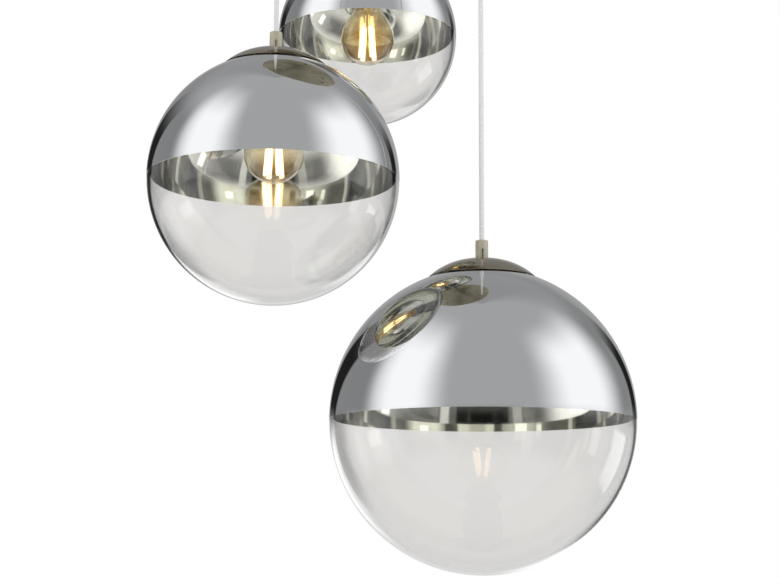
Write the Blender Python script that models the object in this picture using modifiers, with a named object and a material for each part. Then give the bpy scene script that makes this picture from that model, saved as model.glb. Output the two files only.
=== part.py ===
"""Ceiling light with three half-mirrored glass balls that hang on cords from a round canopy.

Units are metres, +Z is up, and the origin is on the ceiling, at the canopy's axis.
Every pendant hangs straight down from its own outlet in the canopy.
"""

import math

import bmesh
import bpy
from mathutils import Matrix, Vector

# Clearances shared by all pieces
TOUCH_GAP = 0.0003
THREAD_CLEARANCE = 0.0003
CORD_CLEARANCE = 0.0004
CUT_OVERRUN = 0.002
MERGE_DISTANCE = 0.00001

# Facets of round pieces
BALL_SEGMENTS = 28
BALL_MOUTH_RINGS = 1
BALL_UPPER_RINGS = 5
BALL_LOWER_RINGS = 6
CAP_SEGMENTS = 24
CAP_RINGS = 4
CANOPY_SEGMENTS = 36
CANOPY_EDGE_STEPS = 3
MEDIUM_SEGMENTS = 16
SMALL_SEGMENTS = 12
BUSH_RINGS = 8
SEAT_STEPS = 2
HEX_SIDES = 6
CORD_BEVEL_STEPS = 2
SHARP_ANGLE = 35

# Canopy, a turned steel pan
CEILING_GAP = 0.0005
CANOPY_RADIUS = 0.150
CANOPY_DEPTH = 0.030
CANOPY_WALL = 0.0012
CANOPY_EDGE_RADIUS = 0.006

# The three pendants: where each hangs, how long its cord is and how large its ball is
SIZES = ("large", "medium", "small")
OUTLET_ANGLES = {"large": 330, "medium": 210, "small": 90}
OUTLET_INSET = 0.030
PITCH_RADIUS = CANOPY_RADIUS - OUTLET_INSET
FREE_CORD = {"large": 0.480, "medium": 0.271, "small": 0.090}
BALL_RADIUS = {"large": 0.150, "medium": 0.125, "small": 0.100}

# Ceiling bracket, a steel bar with two studs for the canopy
BAR_INSET = 0.035
BAR_LENGTH = 2 * (CANOPY_RADIUS - BAR_INSET)
BAR_WIDTH = 0.024
BAR_THICKNESS = 0.002
BAR_SLOT_SPACING = 0.100
BAR_SLOT_WIDTH = 0.0055
BAR_SLOT_LENGTH = 0.018
STUD_INSET = 0.025
STUD_SPACING = BAR_LENGTH - 2 * STUD_INSET
STUD_RADIUS = 0.002
STUD_THREAD_BELOW = 0.008

# Nuts and washers under the canopy
WASHER_RADIUS = 0.006
WASHER_THICKNESS = 0.0008
CAP_NUT_RADIUS = 0.007
CAP_NUT_LENGTH = 0.0115
CAP_NUT_EDGE = 0.0015
CAP_NUT_BORE_MARGIN = 0.0015

# Cords, of round clear cable
CORD_RADIUS = 0.0024
CORD_STEPS = 20

# Grips that hold the cords in the canopy
CANOPY_GRIP_RADIUS = 0.0065
CANOPY_GRIP_LENGTH = 0.016
CANOPY_NECK_ABOVE = 0.005
THREAD_RADIUS = 0.005
GRIP_NUT_WIDTH = 0.014
GRIP_NUT_THICKNESS = 0.003
BUSH_RADIUS = 0.004

# Terminal block inside the canopy, and the cords' tails to it
BLOCK_LENGTH = 0.040
BLOCK_WIDTH = 0.018
BLOCK_HEIGHT = 0.013
BLOCK_ENTRY_DEPTH = 0.006
TAIL_IN_BLOCK = 0.005
TAIL_RISE = 0.026
TAIL_LEAD = 0.040
TAIL_STEPS = 10

# Cord grip on top of a ball, of clear plastic
CORD_GRIP_RADIUS = 0.0063
CORD_GRIP_LENGTH = 0.019
CORD_GRIP_NECK = 0.013
CORD_GRIP_EDGE = 0.0008
GRIP_SLOT_WIDTH = 0.0015
GRIP_SLOT_LENGTH = 0.0092
GRIP_SLOT_START = 0.0008
GRIP_SCREW_RADIUS = 0.0018
GRIP_SCREW_HEIGHT = 0.0145

# Cap, a spun metal dome with a flat land under the cord grip
CAP_RADIUS = 0.0535
CAP_HEIGHT = 0.0185
CAP_WALL = 0.001
CAP_LAND_RADIUS = 0.0075

# Glass ball, and the metal film on the outside of its upper half
GLASS_WALL = 0.0028
COAT_THICKNESS = 0.0004
OPENING_RADIUS = 0.037

# Spring carrier, whose three leaf springs hold the ball by the edge of its opening
CARRIER_RADIUS = 0.009
CARRIER_THICKNESS = 0.0008
LEAF_COUNT = 3
LEAF_WIDTH = 0.008
LEAF_THICKNESS = 0.0006
LEAF_EDGE_CLEARANCE = 0.0006
LEAF_HOOK_DROP = 0.0012
LEAF_KNEE_INSET = 0.004
LEAF_TAIL_INSET = 0.005
LEAF_TAIL_DROP = 0.008
LEAF_START_RADIUS = 0.0075
LEAF_BEND_SHARE = 0.55
LEAF_BEND_DROP_SHARE = 0.3

# Lamp holder and the contact block inside it
HOLDER_COLLAR_RADIUS = 0.009
HOLDER_COLLAR_LENGTH = 0.0065
HOLDER_SHOULDER = 0.007
HOLDER_RADIUS = 0.0195
HOLDER_RIM_RADIUS = 0.0205
HOLDER_RIM_LENGTH = 0.007
HOLDER_RIM_STEP = 0.0005
HOLDER_LENGTH = 0.056
HOLDER_ROOF = 0.0095
SOCKET_CLEARANCE = 0.0008
BLOCK_TOP_SPACE = 0.004

# Bulb, with a standard screw base of 27 mm and a 60 mm globe
BULB_RADIUS = 0.030
BULB_LENGTH = 0.105
BULB_WALL = 0.0008
BASE_RADIUS = 0.0131
BASE_WALL = 0.0005
BASE_LENGTH = 0.025
BASE_CONE_HEIGHT = 0.004
BASE_CONE_RADIUS = 0.006
BASE_ROOF = 0.0015
TIP_RADIUS = 0.0045
TIP_HEIGHT = 0.002
TIP_EDGE = 0.0007
NECK_IN_BASE = 0.017
NECK_BELOW_BASE = 0.0015
SHOULDER_LATITUDE = 30
FLARE_HANDLE_SHARES = (0.48, 0.36)
BULB_FLARE_STEPS = 3
BULB_GLOBE_STEPS = 5

# Light source inside the bulb: a stem with four lit sticks between two hubs
STICK_COUNT = 4
STICK_RADIUS = 0.0010
STICK_LENGTH = 0.038
STICK_BOTTOM_CLEARANCE = 0.006
STICK_TOP_SPREAD = 0.006
STICK_BOTTOM_SPREAD = 0.0095
STICK_SEGMENTS = 6
HUB_THICKNESS = 0.001
HUB_MARGIN = 0.0014
STEM_RADIUS = 0.0035
STEM_FOOT_HEIGHT = 0.006

# Levels that follow from the sizes above
CANOPY_TOP = -CEILING_GAP
CANOPY_BOTTOM = CANOPY_TOP - CANOPY_DEPTH
CANOPY_FLOOR = CANOPY_BOTTOM + CANOPY_WALL
PIVOT_Z = CANOPY_BOTTOM - TOUCH_GAP - CANOPY_GRIP_LENGTH
CORD_BORE = CORD_RADIUS + CORD_CLEARANCE
THREAD_HOLE = THREAD_RADIUS + THREAD_CLEARANCE
STUD_HOLE = STUD_RADIUS + THREAD_CLEARANCE
STUD_END = CANOPY_BOTTOM - STUD_THREAD_BELOW
CAP_REACH = CAP_RADIUS - CAP_LAND_RADIUS
CAP_BOW = (CAP_REACH**2 + CAP_HEIGHT**2) / (2 * CAP_HEIGHT)
CAP_EDGE = math.acos((CAP_BOW - CAP_HEIGHT) / (CAP_BOW - CAP_WALL))
CAP_INNER_RADIUS = CAP_LAND_RADIUS + (CAP_BOW - CAP_WALL) * math.sin(CAP_EDGE)
CAP_SEAT_RADIUS = CAP_INNER_RADIUS * math.cos(math.pi / CAP_SEGMENTS)
CARRIER_TOP = -CAP_WALL - TOUCH_GAP
HOLDER_TOP = CARRIER_TOP - CARRIER_THICKNESS - TOUCH_GAP
HOLDER_BOTTOM = HOLDER_TOP - HOLDER_LENGTH
SOCKET_RADIUS = BASE_RADIUS + SOCKET_CLEARANCE
SOCKET_TOP = HOLDER_TOP - HOLDER_ROOF
BASE_TOP = HOLDER_BOTTOM + BASE_LENGTH
BULB_NECK_RADIUS = BASE_RADIUS - BASE_WALL - TOUCH_GAP
TIP_BOTTOM = BASE_TOP + TOUCH_GAP
TIP_TOP = TIP_BOTTOM + TIP_HEIGHT
GLOBE_CENTRE = TIP_TOP - BULB_LENGTH + BULB_RADIUS
CONTACT_TOP = SOCKET_TOP - BLOCK_TOP_SPACE
CORD_END = CONTACT_TOP + TOUCH_GAP


def cap_top(size):
    """Height of the outside of a pendant's cap, under its cord and cord grip."""
    return PIVOT_Z - FREE_CORD[size] - CORD_GRIP_LENGTH - TOUCH_GAP


def ball_drop(size):
    """Distance from the top of a cap down to the centre of its ball."""
    seat = math.sqrt(BALL_RADIUS[size] ** 2 - CAP_SEAT_RADIUS**2)
    return CAP_HEIGHT + TOUCH_GAP + seat


def outlet(size):
    """Place of a pendant's axis, seen from above."""
    angle = math.radians(OUTLET_ANGLES[size])
    return Vector((PITCH_RADIUS * math.cos(angle), PITCH_RADIUS * math.sin(angle)))


# Scene, collections and materials


def clear_scene():
    for obj in list(bpy.data.objects):
        bpy.data.objects.remove(obj, do_unlink=True)


def make_collection(name):
    collection = bpy.data.collections.new(name)
    bpy.context.scene.collection.children.link(collection)
    return collection


def make_material(name, colour, roughness, metallic=0.0, transmission=0.0):
    material = bpy.data.materials.new(name)
    material.use_nodes = True
    shader = material.node_tree.nodes["Principled BSDF"]
    shader.inputs["Base Color"].default_value = (*colour, 1.0)
    shader.inputs["Roughness"].default_value = roughness
    shader.inputs["Metallic"].default_value = metallic
    shader.inputs["Transmission Weight"].default_value = transmission
    material.diffuse_color = (*colour, 1.0)
    return material


clear_scene()
PARTS = make_collection("bubble_chandelier")
CUTTERS = make_collection("cutters")
MATERIALS = {
    "satin_nickel": make_material("satin_nickel", (0.62, 0.58, 0.50), 0.30, 1.0),
    "zinc_steel": make_material("zinc_steel", (0.66, 0.67, 0.68), 0.38, 1.0),
    "spring_steel": make_material("spring_steel", (0.55, 0.56, 0.58), 0.28, 1.0),
    "mirror_film": make_material("mirror_film", (0.90, 0.90, 0.91), 0.03, 1.0),
    "clear_glass": make_material("clear_glass", (0.93, 0.94, 0.94), 0.02, 0.0, 1.0),
    "bulb_glass": make_material("bulb_glass", (0.97, 0.95, 0.90), 0.02, 0.0, 1.0),
    "bulb_metal": make_material("bulb_metal", (0.74, 0.74, 0.73), 0.30, 1.0),
    "contact_brass": make_material("contact_brass", (0.78, 0.62, 0.32), 0.35, 1.0),
    "lit_phosphor": make_material("lit_phosphor", (1.0, 0.72, 0.32), 0.50),
    "clear_cable": make_material("clear_cable", (0.80, 0.80, 0.78), 0.25),
    "clear_plastic": make_material("clear_plastic", (0.78, 0.75, 0.64), 0.22),
    "white_nylon": make_material("white_nylon", (0.85, 0.85, 0.83), 0.45),
    "holder_plastic": make_material("holder_plastic", (0.90, 0.89, 0.86), 0.45),
    "ceramic": make_material("ceramic", (0.86, 0.84, 0.80), 0.50),
}


# Tools that make one kind of shape each


def make_empty(name, parent, location):
    empty = bpy.data.objects.new(name, None)
    empty.parent = parent
    empty.location = location
    PARTS.objects.link(empty)
    return empty


def place(obj, collection, parent=None, location=(0, 0, 0), turn=0):
    """Puts an object in its collection, on its parent, turned about Z by degrees."""
    collection.objects.link(obj)
    obj.parent = parent
    obj.location = location
    obj.rotation_euler = (0, 0, math.radians(turn))
    return obj


def as_helper(obj):
    """Hides a cutter, or a shape that is joined to another, from the render."""
    obj.hide_render = True
    obj.display_type = "WIRE"
    return obj


def turned(name, outline, segments, closed=False):
    """Turns an outline of (radius, height) points about Z. Its outer side runs downwards."""
    mesh = bpy.data.meshes.new(name)
    edges = [(i, i + 1) for i in range(len(outline) - 1)]
    if closed:
        edges.append((len(outline) - 1, 0))
    mesh.from_pydata([(radius, 0, height) for radius, height in outline], edges, [])
    obj = bpy.data.objects.new(name, mesh)
    screw = obj.modifiers.new("Turn", "SCREW")
    screw.steps = screw.render_steps = segments
    screw.use_merge_vertices = True
    screw.merge_threshold = MERGE_DISTANCE
    return obj


def cylinder(name, radius, low, high, segments):
    """A plain cylinder about Z between two heights."""
    mesh = bpy.data.meshes.new(name)
    shape = bmesh.new()
    bmesh.ops.create_cone(
        shape,
        cap_ends=True,
        segments=segments,
        radius1=radius,
        radius2=radius,
        depth=high - low,
    )
    bmesh.ops.translate(shape, verts=shape.verts, vec=(0, 0, (low + high) / 2))
    shape.to_mesh(mesh)
    shape.free()
    return bpy.data.objects.new(name, mesh)


def box(name, low, high):
    """A box between two corners."""
    mesh = bpy.data.meshes.new(name)
    shape = bmesh.new()
    bmesh.ops.create_cube(shape, size=1)
    low, high = Vector(low), Vector(high)
    bmesh.ops.scale(shape, verts=shape.verts, vec=high - low)
    bmesh.ops.translate(shape, verts=shape.verts, vec=(low + high) / 2)
    shape.to_mesh(mesh)
    shape.free()
    return bpy.data.objects.new(name, mesh)


def slot_cutter(name, length, width, low, high, segments):
    """A slot with round ends along X: a cylinder whose two halves are moved apart."""
    half_step = math.pi / segments
    cutter = cylinder(name, width / 2 / math.cos(half_step), low, high, segments)
    turn = Matrix.Rotation(half_step, 3, "Z")
    side = (length - width) / 2
    for vertex in cutter.data.vertices:
        vertex.co = turn @ vertex.co
        vertex.co.x += math.copysign(side, vertex.co.x)
    return cutter


def tube(name, points, radius):
    """A round cord along points, as a curve with filled caps."""
    curve = bpy.data.curves.new(name, "CURVE")
    curve.dimensions = "3D"
    curve.bevel_depth = radius
    curve.bevel_resolution = CORD_BEVEL_STEPS
    curve.use_fill_caps = True
    spline = curve.splines.new("POLY")
    spline.points.add(len(points) - 1)
    for target, point in zip(spline.points, points):
        target.co = (*point, 1)
    return bpy.data.objects.new(name, curve)


def combine(obj, helper, operation):
    """Cuts a helper from an object, or joins it on."""
    boolean = obj.modifiers.new(operation.title(), "BOOLEAN")
    boolean.operation = operation
    boolean.solver = "EXACT"
    boolean.object = helper


def arc(centre, radius, start, end, steps):
    """Points on an arc in the outline's plane, angles in degrees from the radius axis."""
    angles = [math.radians(start + (end - start) * i / steps) for i in range(steps + 1)]
    return [
        (centre[0] + radius * math.cos(a), centre[1] + radius * math.sin(a))
        for a in angles
    ]


def bezier(first, second, third, last, steps):
    """Points on a cubic curve between first and last."""
    points = []
    for i in range(steps + 1):
        t = i / steps
        s = 1 - t
        near = s**3 * first + 3 * s * s * t * second
        points.append(near + 3 * s * t * t * third + t**3 * last)
    return points


def straight(start, end, steps):
    """Points on a straight line between two places."""
    start, end = Vector(start), Vector(end)
    return [start.lerp(end, i / steps) for i in range(steps + 1)]


def paint(obj, material):
    obj.data.materials.append(MATERIALS[material])
    return obj


# Ceiling bracket, canopy and their fasteners


def make_bracket():
    bar = box(
        "ceiling_bracket",
        (-BAR_LENGTH / 2, -BAR_WIDTH / 2, -BAR_THICKNESS),
        (BAR_LENGTH / 2, BAR_WIDTH / 2, 0),
    )
    place(paint(bar, "zinc_steel"), PARTS)
    low, high = -BAR_THICKNESS - CUT_OVERRUN, CUT_OVERRUN
    for side, word in ((-1, "left"), (1, "right")):
        slot = slot_cutter(
            f"cut_bar_slot_{word}",
            BAR_SLOT_LENGTH,
            BAR_SLOT_WIDTH,
            low,
            high,
            SMALL_SEGMENTS,
        )
        place(as_helper(slot), CUTTERS, None, (side * BAR_SLOT_SPACING / 2, 0, 0))
        combine(bar, slot, "DIFFERENCE")
        hole = cylinder(f"cut_bar_hole_{word}", STUD_HOLE, low, high, SMALL_SEGMENTS)
        place(as_helper(hole), CUTTERS, None, (side * STUD_SPACING / 2, 0, 0))
        combine(bar, hole, "DIFFERENCE")


def make_fasteners():
    """Studs pressed into the bar, and the washers and cap nuts that hold the canopy up."""
    washer_top = CANOPY_BOTTOM - TOUCH_GAP
    nut_top = washer_top - WASHER_THICKNESS - TOUCH_GAP
    nut_bottom = nut_top - CAP_NUT_LENGTH
    bore_top = STUD_END - CAP_NUT_BORE_MARGIN
    nut_outline = [
        (0, bore_top),
        (STUD_HOLE, bore_top),
        (STUD_HOLE, nut_top),
        (CAP_NUT_RADIUS - CAP_NUT_EDGE, nut_top),
        (CAP_NUT_RADIUS, nut_top - CAP_NUT_EDGE),
        (CAP_NUT_RADIUS, nut_bottom + CAP_NUT_EDGE),
        (CAP_NUT_RADIUS - CAP_NUT_EDGE, nut_bottom),
        (0, nut_bottom),
    ]
    washer_outline = [
        (WASHER_RADIUS, washer_top),
        (WASHER_RADIUS, washer_top - WASHER_THICKNESS),
        (STUD_HOLE, washer_top - WASHER_THICKNESS),
        (STUD_HOLE, washer_top),
    ]
    for side, word in ((-1, "left"), (1, "right")):
        where = (side * STUD_SPACING / 2, 0, 0)
        stud = cylinder(
            f"{word}_stud", STUD_RADIUS, STUD_END, -TOUCH_GAP, SMALL_SEGMENTS
        )
        place(paint(stud, "zinc_steel"), PARTS, None, where)
        washer = turned(f"{word}_washer", washer_outline, SMALL_SEGMENTS, closed=True)
        place(paint(washer, "satin_nickel"), PARTS, None, where)
        nut = turned(f"{word}_cap_nut", nut_outline, MEDIUM_SEGMENTS)
        place(paint(nut, "satin_nickel"), PARTS, None, where)


def make_canopy():
    inner_edge = CANOPY_EDGE_RADIUS - CANOPY_WALL
    corner = (CANOPY_RADIUS - CANOPY_EDGE_RADIUS, CANOPY_BOTTOM + CANOPY_EDGE_RADIUS)
    outline = [
        (0, CANOPY_FLOOR),
        *arc(corner, inner_edge, -90, 0, CANOPY_EDGE_STEPS),
        (CANOPY_RADIUS - CANOPY_WALL, CANOPY_TOP),
        (CANOPY_RADIUS, CANOPY_TOP),
        *arc(corner, CANOPY_EDGE_RADIUS, 0, -90, CANOPY_EDGE_STEPS),
        (0, CANOPY_BOTTOM),
    ]
    canopy = turned("canopy", outline, CANOPY_SEGMENTS)
    place(paint(canopy, "satin_nickel"), PARTS)
    low, high = CANOPY_BOTTOM - CUT_OVERRUN, CANOPY_FLOOR + CUT_OVERRUN
    for size in SIZES:
        hole = cylinder(f"cut_outlet_{size}", THREAD_HOLE, low, high, SMALL_SEGMENTS)
        place(as_helper(hole), CUTTERS, None, (*outlet(size), 0))
        combine(canopy, hole, "DIFFERENCE")
    for side, word in ((-1, "left"), (1, "right")):
        hole = cylinder(f"cut_stud_{word}", STUD_HOLE, low, high, SMALL_SEGMENTS)
        place(as_helper(hole), CUTTERS, None, (side * STUD_SPACING / 2, 0, 0))
        combine(canopy, hole, "DIFFERENCE")


BLOCK_LOW = CANOPY_FLOOR + TOUCH_GAP
BLOCK_ENTRIES = {
    "large": (Vector((BLOCK_LENGTH / 2, 0, 0)), 0),
    "medium": (Vector((-BLOCK_LENGTH / 2, 0, 0)), 180),
    "small": (Vector((0, BLOCK_WIDTH / 2, 0)), 90),
}


def block_entry(size):
    """Where a tail meets the terminal block, and the way out of the block there."""
    point, angle = BLOCK_ENTRIES[size]
    way_out = Vector((math.cos(math.radians(angle)), math.sin(math.radians(angle)), 0))
    return point + Vector((0, 0, BLOCK_LOW + BLOCK_HEIGHT / 2)), way_out


def make_terminal_block():
    block = box(
        "terminal_block",
        (-BLOCK_LENGTH / 2, -BLOCK_WIDTH / 2, BLOCK_LOW),
        (BLOCK_LENGTH / 2, BLOCK_WIDTH / 2, BLOCK_LOW + BLOCK_HEIGHT),
    )
    place(paint(block, "white_nylon"), PARTS)
    for size in SIZES:
        point, way_out = block_entry(size)
        hole = cylinder(
            f"cut_entry_{size}",
            CORD_BORE,
            -BLOCK_ENTRY_DEPTH,
            CUT_OVERRUN,
            SMALL_SEGMENTS,
        )
        place(as_helper(hole), CUTTERS, None, point)
        hole.rotation_euler = way_out.to_track_quat("Z", "Y").to_euler()
        combine(block, hole, "DIFFERENCE")


# Parts of one pendant at the canopy


def make_canopy_grip(size, pivot):
    """Grip screwed into the canopy, whose mouth seats the cord's ball-shaped bush."""
    seat = BUSH_RADIUS + TOUCH_GAP
    shoulder = CANOPY_GRIP_LENGTH
    neck_top = CANOPY_FLOOR - PIVOT_Z + CANOPY_NECK_ABOVE
    bore_angle = math.degrees(math.acos(CORD_BORE / seat))
    outline = [
        (THREAD_RADIUS, neck_top),
        (THREAD_RADIUS, shoulder),
        (CANOPY_GRIP_RADIUS, shoulder),
        (CANOPY_GRIP_RADIUS, 0),
        *arc((0, 0), seat, 0, bore_angle, SEAT_STEPS),
        (CORD_BORE, neck_top),
    ]
    grip = turned(f"{size}_canopy_grip", outline, SMALL_SEGMENTS, closed=True)
    place(paint(grip, "satin_nickel"), PARTS, pivot)


def make_grip_nut(size, pivot):
    low = CANOPY_FLOOR - PIVOT_Z + TOUCH_GAP
    corner_radius = GRIP_NUT_WIDTH / math.sqrt(3)
    high = low + GRIP_NUT_THICKNESS
    nut = cylinder(f"{size}_grip_nut", corner_radius, low, high, HEX_SIDES)
    place(paint(nut, "zinc_steel"), PARTS, pivot)
    hole = cylinder(
        f"cut_grip_nut_{size}",
        THREAD_HOLE,
        low - CUT_OVERRUN,
        high + CUT_OVERRUN,
        SMALL_SEGMENTS,
    )
    place(as_helper(hole), CUTTERS, pivot)
    combine(nut, hole, "DIFFERENCE")


def make_bush(size, pivot):
    """Nylon ball moulded on the cord. It turns in the grip's mouth as the pendant swings."""
    mesh = bpy.data.meshes.new(f"{size}_cord_bush")
    shape = bmesh.new()
    bmesh.ops.create_uvsphere(
        shape, u_segments=SMALL_SEGMENTS, v_segments=BUSH_RINGS, radius=BUSH_RADIUS
    )
    shape.to_mesh(mesh)
    shape.free()
    bush = bpy.data.objects.new(f"{size}_cord_bush", mesh)
    place(paint(bush, "white_nylon"), PARTS, pivot)


def make_tail(size):
    """The cord's end inside the canopy, up through the grip and over to the terminal block."""
    x, y = outlet(size)
    start = PIVOT_Z + BUSH_RADIUS + TOUCH_GAP
    leave = Vector((x, y, CANOPY_FLOOR + CANOPY_NECK_ABOVE))
    point, way_out = block_entry(size)
    inside = point - way_out * TAIL_IN_BLOCK
    bend = bezier(
        leave,
        leave + Vector((0, 0, TAIL_RISE)),
        point + way_out * TAIL_LEAD,
        point,
        TAIL_STEPS,
    )
    points = [Vector((x, y, start)), *bend, inside]
    place(paint(tube(f"{size}_cord_tail", points, CORD_RADIUS), "clear_cable"), PARTS)


def make_cord(size):
    """The hanging cord, from its bush down into the lamp holder."""
    x, y = outlet(size)
    top = PIVOT_Z - BUSH_RADIUS - TOUCH_GAP
    bottom = cap_top(size) + CORD_END
    points = straight((x, y, top), (x, y, bottom), CORD_STEPS)
    place(paint(tube(f"{size}_cord", points, CORD_RADIUS), "clear_cable"), PARTS)


# Parts of one pendant at the ball. Heights here are from the top of the cap.


def make_cord_grip(size, head):
    top = TOUCH_GAP + CORD_GRIP_LENGTH
    outline = [
        (CORD_GRIP_RADIUS - CORD_GRIP_EDGE, top),
        (CORD_GRIP_RADIUS, top - CORD_GRIP_EDGE),
        (CORD_GRIP_RADIUS, TOUCH_GAP),
        (THREAD_RADIUS, TOUCH_GAP),
        (THREAD_RADIUS, TOUCH_GAP - CORD_GRIP_NECK),
        (CORD_BORE, TOUCH_GAP - CORD_GRIP_NECK),
        (CORD_BORE, top),
    ]
    grip = turned(f"{size}_cord_grip", outline, MEDIUM_SEGMENTS, closed=True)
    place(paint(grip, "clear_plastic"), PARTS, head)
    slot_low = TOUCH_GAP + GRIP_SLOT_START
    slot = box(
        f"cut_grip_slot_{size}",
        (-GRIP_SLOT_WIDTH / 2, -CORD_GRIP_RADIUS - CUT_OVERRUN, slot_low),
        (GRIP_SLOT_WIDTH / 2, 0, slot_low + GRIP_SLOT_LENGTH),
    )
    place(as_helper(slot), CUTTERS, head)
    combine(grip, slot, "DIFFERENCE")
    hole = cylinder(
        f"cut_grip_screw_{size}",
        GRIP_SCREW_RADIUS + THREAD_CLEARANCE,
        0,
        CORD_GRIP_RADIUS + CUT_OVERRUN,
        SMALL_SEGMENTS,
    )
    screw_length = CORD_GRIP_RADIUS - CORD_BORE
    screw = cylinder(
        f"{size}_grip_screw",
        GRIP_SCREW_RADIUS,
        CORD_BORE,
        CORD_BORE + screw_length,
        SMALL_SEGMENTS,
    )
    place(as_helper(hole), CUTTERS, head, (0, 0, GRIP_SCREW_HEIGHT))
    place(paint(screw, "clear_plastic"), PARTS, head, (0, 0, GRIP_SCREW_HEIGHT))
    for piece in (hole, screw):
        piece.rotation_euler = (math.radians(-90), 0, 0)
    combine(grip, hole, "DIFFERENCE")


def cap_outline(inset):
    """Side of the dome from its land to its rim, moved inwards by inset."""
    radius = CAP_BOW - inset
    rim = math.degrees(math.acos((CAP_BOW - CAP_HEIGHT) / radius))
    return arc((CAP_LAND_RADIUS, -CAP_BOW), radius, 90, 90 - rim, CAP_RINGS)


def make_cap(size, head):
    outline = [
        (THREAD_HOLE, 0),
        *cap_outline(0),
        *reversed(cap_outline(CAP_WALL)),
        (THREAD_HOLE, -CAP_WALL),
    ]
    cap = turned(f"{size}_cap", outline, CAP_SEGMENTS, closed=True)
    place(paint(cap, "satin_nickel"), PARTS, head)


def glass_edge(size, inset):
    """Height of the ball's surface at its opening, from the top of the cap."""
    radius = BALL_RADIUS[size] - inset
    return math.sqrt(radius**2 - OPENING_RADIUS**2) - ball_drop(size)


def make_leaf(size, number, head):
    """One leaf spring: a bent strip that bulges out under the edge of the glass."""
    film = COAT_THICKNESS + TOUCH_GAP
    flat = OPENING_RADIUS * math.cos(math.pi / BALL_SEGMENTS)
    bulge = flat - LEAF_EDGE_CLEARANCE - LEAF_THICKNESS / 2
    top = CARRIER_TOP - CARRIER_THICKNESS / 2
    knee = (bulge - LEAF_KNEE_INSET, glass_edge(size, film))
    hook = (bulge, glass_edge(size, film + GLASS_WALL) - LEAF_HOOK_DROP)
    bend_radius = LEAF_START_RADIUS + (knee[0] - LEAF_START_RADIUS) * LEAF_BEND_SHARE
    bend_height = top + (knee[1] - top) * LEAF_BEND_DROP_SHARE
    path = [
        (LEAF_START_RADIUS, top),
        (bend_radius, bend_height),
        knee,
        hook,
        (bulge - LEAF_TAIL_INSET, hook[1] - LEAF_TAIL_DROP),
    ]
    half = LEAF_WIDTH / 2
    name = f"join_leaf_{number}_{size}"
    mesh = bpy.data.meshes.new(name)
    points = [(r, side * half, z) for side in (-1, 1) for r, z in path]
    count = len(path)
    faces = [(i, i + 1, count + i + 1, count + i) for i in range(count - 1)]
    mesh.from_pydata(points, [], faces)
    leaf = bpy.data.objects.new(name, mesh)
    solidify = leaf.modifiers.new("Thickness", "SOLIDIFY")
    solidify.thickness = LEAF_THICKNESS
    solidify.offset = 0
    turn = -90 + number * 360 / LEAF_COUNT
    return place(as_helper(leaf), CUTTERS, head, (0, 0, 0), turn)


def make_spring_carrier(size, head):
    outline = [
        (CARRIER_RADIUS, CARRIER_TOP),
        (CARRIER_RADIUS, CARRIER_TOP - CARRIER_THICKNESS),
        (THREAD_HOLE, CARRIER_TOP - CARRIER_THICKNESS),
        (THREAD_HOLE, CARRIER_TOP),
    ]
    name = f"{size}_spring_carrier"
    carrier = turned(name, outline, MEDIUM_SEGMENTS, closed=True)
    place(paint(carrier, "spring_steel"), PARTS, head)
    for number in range(LEAF_COUNT):
        combine(carrier, make_leaf(size, number, head), "UNION")


def make_lamp_holder(size, head):
    collar_end = HOLDER_TOP - HOLDER_COLLAR_LENGTH
    rim_top = HOLDER_BOTTOM + HOLDER_RIM_LENGTH
    outline = [
        (HOLDER_COLLAR_RADIUS, HOLDER_TOP),
        (HOLDER_COLLAR_RADIUS, collar_end),
        (HOLDER_RADIUS, collar_end - HOLDER_SHOULDER),
        (HOLDER_RADIUS, rim_top + HOLDER_RIM_STEP),
        (HOLDER_RIM_RADIUS, rim_top),
        (HOLDER_RIM_RADIUS, HOLDER_BOTTOM),
        (SOCKET_RADIUS, HOLDER_BOTTOM),
        (SOCKET_RADIUS, SOCKET_TOP),
        (THREAD_HOLE, SOCKET_TOP),
        (THREAD_HOLE, HOLDER_TOP),
    ]
    holder = turned(f"{size}_lamp_holder", outline, MEDIUM_SEGMENTS, closed=True)
    place(paint(holder, "holder_plastic"), PARTS, head)
    radius = SOCKET_RADIUS - TOUCH_GAP
    bottom = TIP_TOP + TOUCH_GAP
    name = f"{size}_contact_block"
    block = cylinder(name, radius, bottom, CONTACT_TOP, MEDIUM_SEGMENTS)
    place(paint(block, "ceramic"), PARTS, head)


def make_bulb_base(size, head):
    tip_outline = [
        (0, TIP_TOP),
        (TIP_RADIUS - TIP_EDGE, TIP_TOP),
        (TIP_RADIUS, TIP_TOP - TIP_EDGE),
        (TIP_RADIUS, TIP_BOTTOM),
        (0, TIP_BOTTOM),
    ]
    tip = turned(f"{size}_bulb_tip", tip_outline, SMALL_SEGMENTS)
    place(paint(tip, "contact_brass"), PARTS, head)
    inner = BASE_RADIUS - BASE_WALL
    cone_end = BASE_TOP - BASE_CONE_HEIGHT
    base_outline = [
        (0, BASE_TOP),
        (BASE_CONE_RADIUS, BASE_TOP),
        (BASE_RADIUS, cone_end),
        (BASE_RADIUS, HOLDER_BOTTOM),
        (inner, HOLDER_BOTTOM),
        (inner, cone_end - BASE_ROOF),
        (0, cone_end - BASE_ROOF),
    ]
    base = turned(f"{size}_bulb_base", base_outline, MEDIUM_SEGMENTS)
    place(paint(base, "bulb_metal"), PARTS, head)


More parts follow.
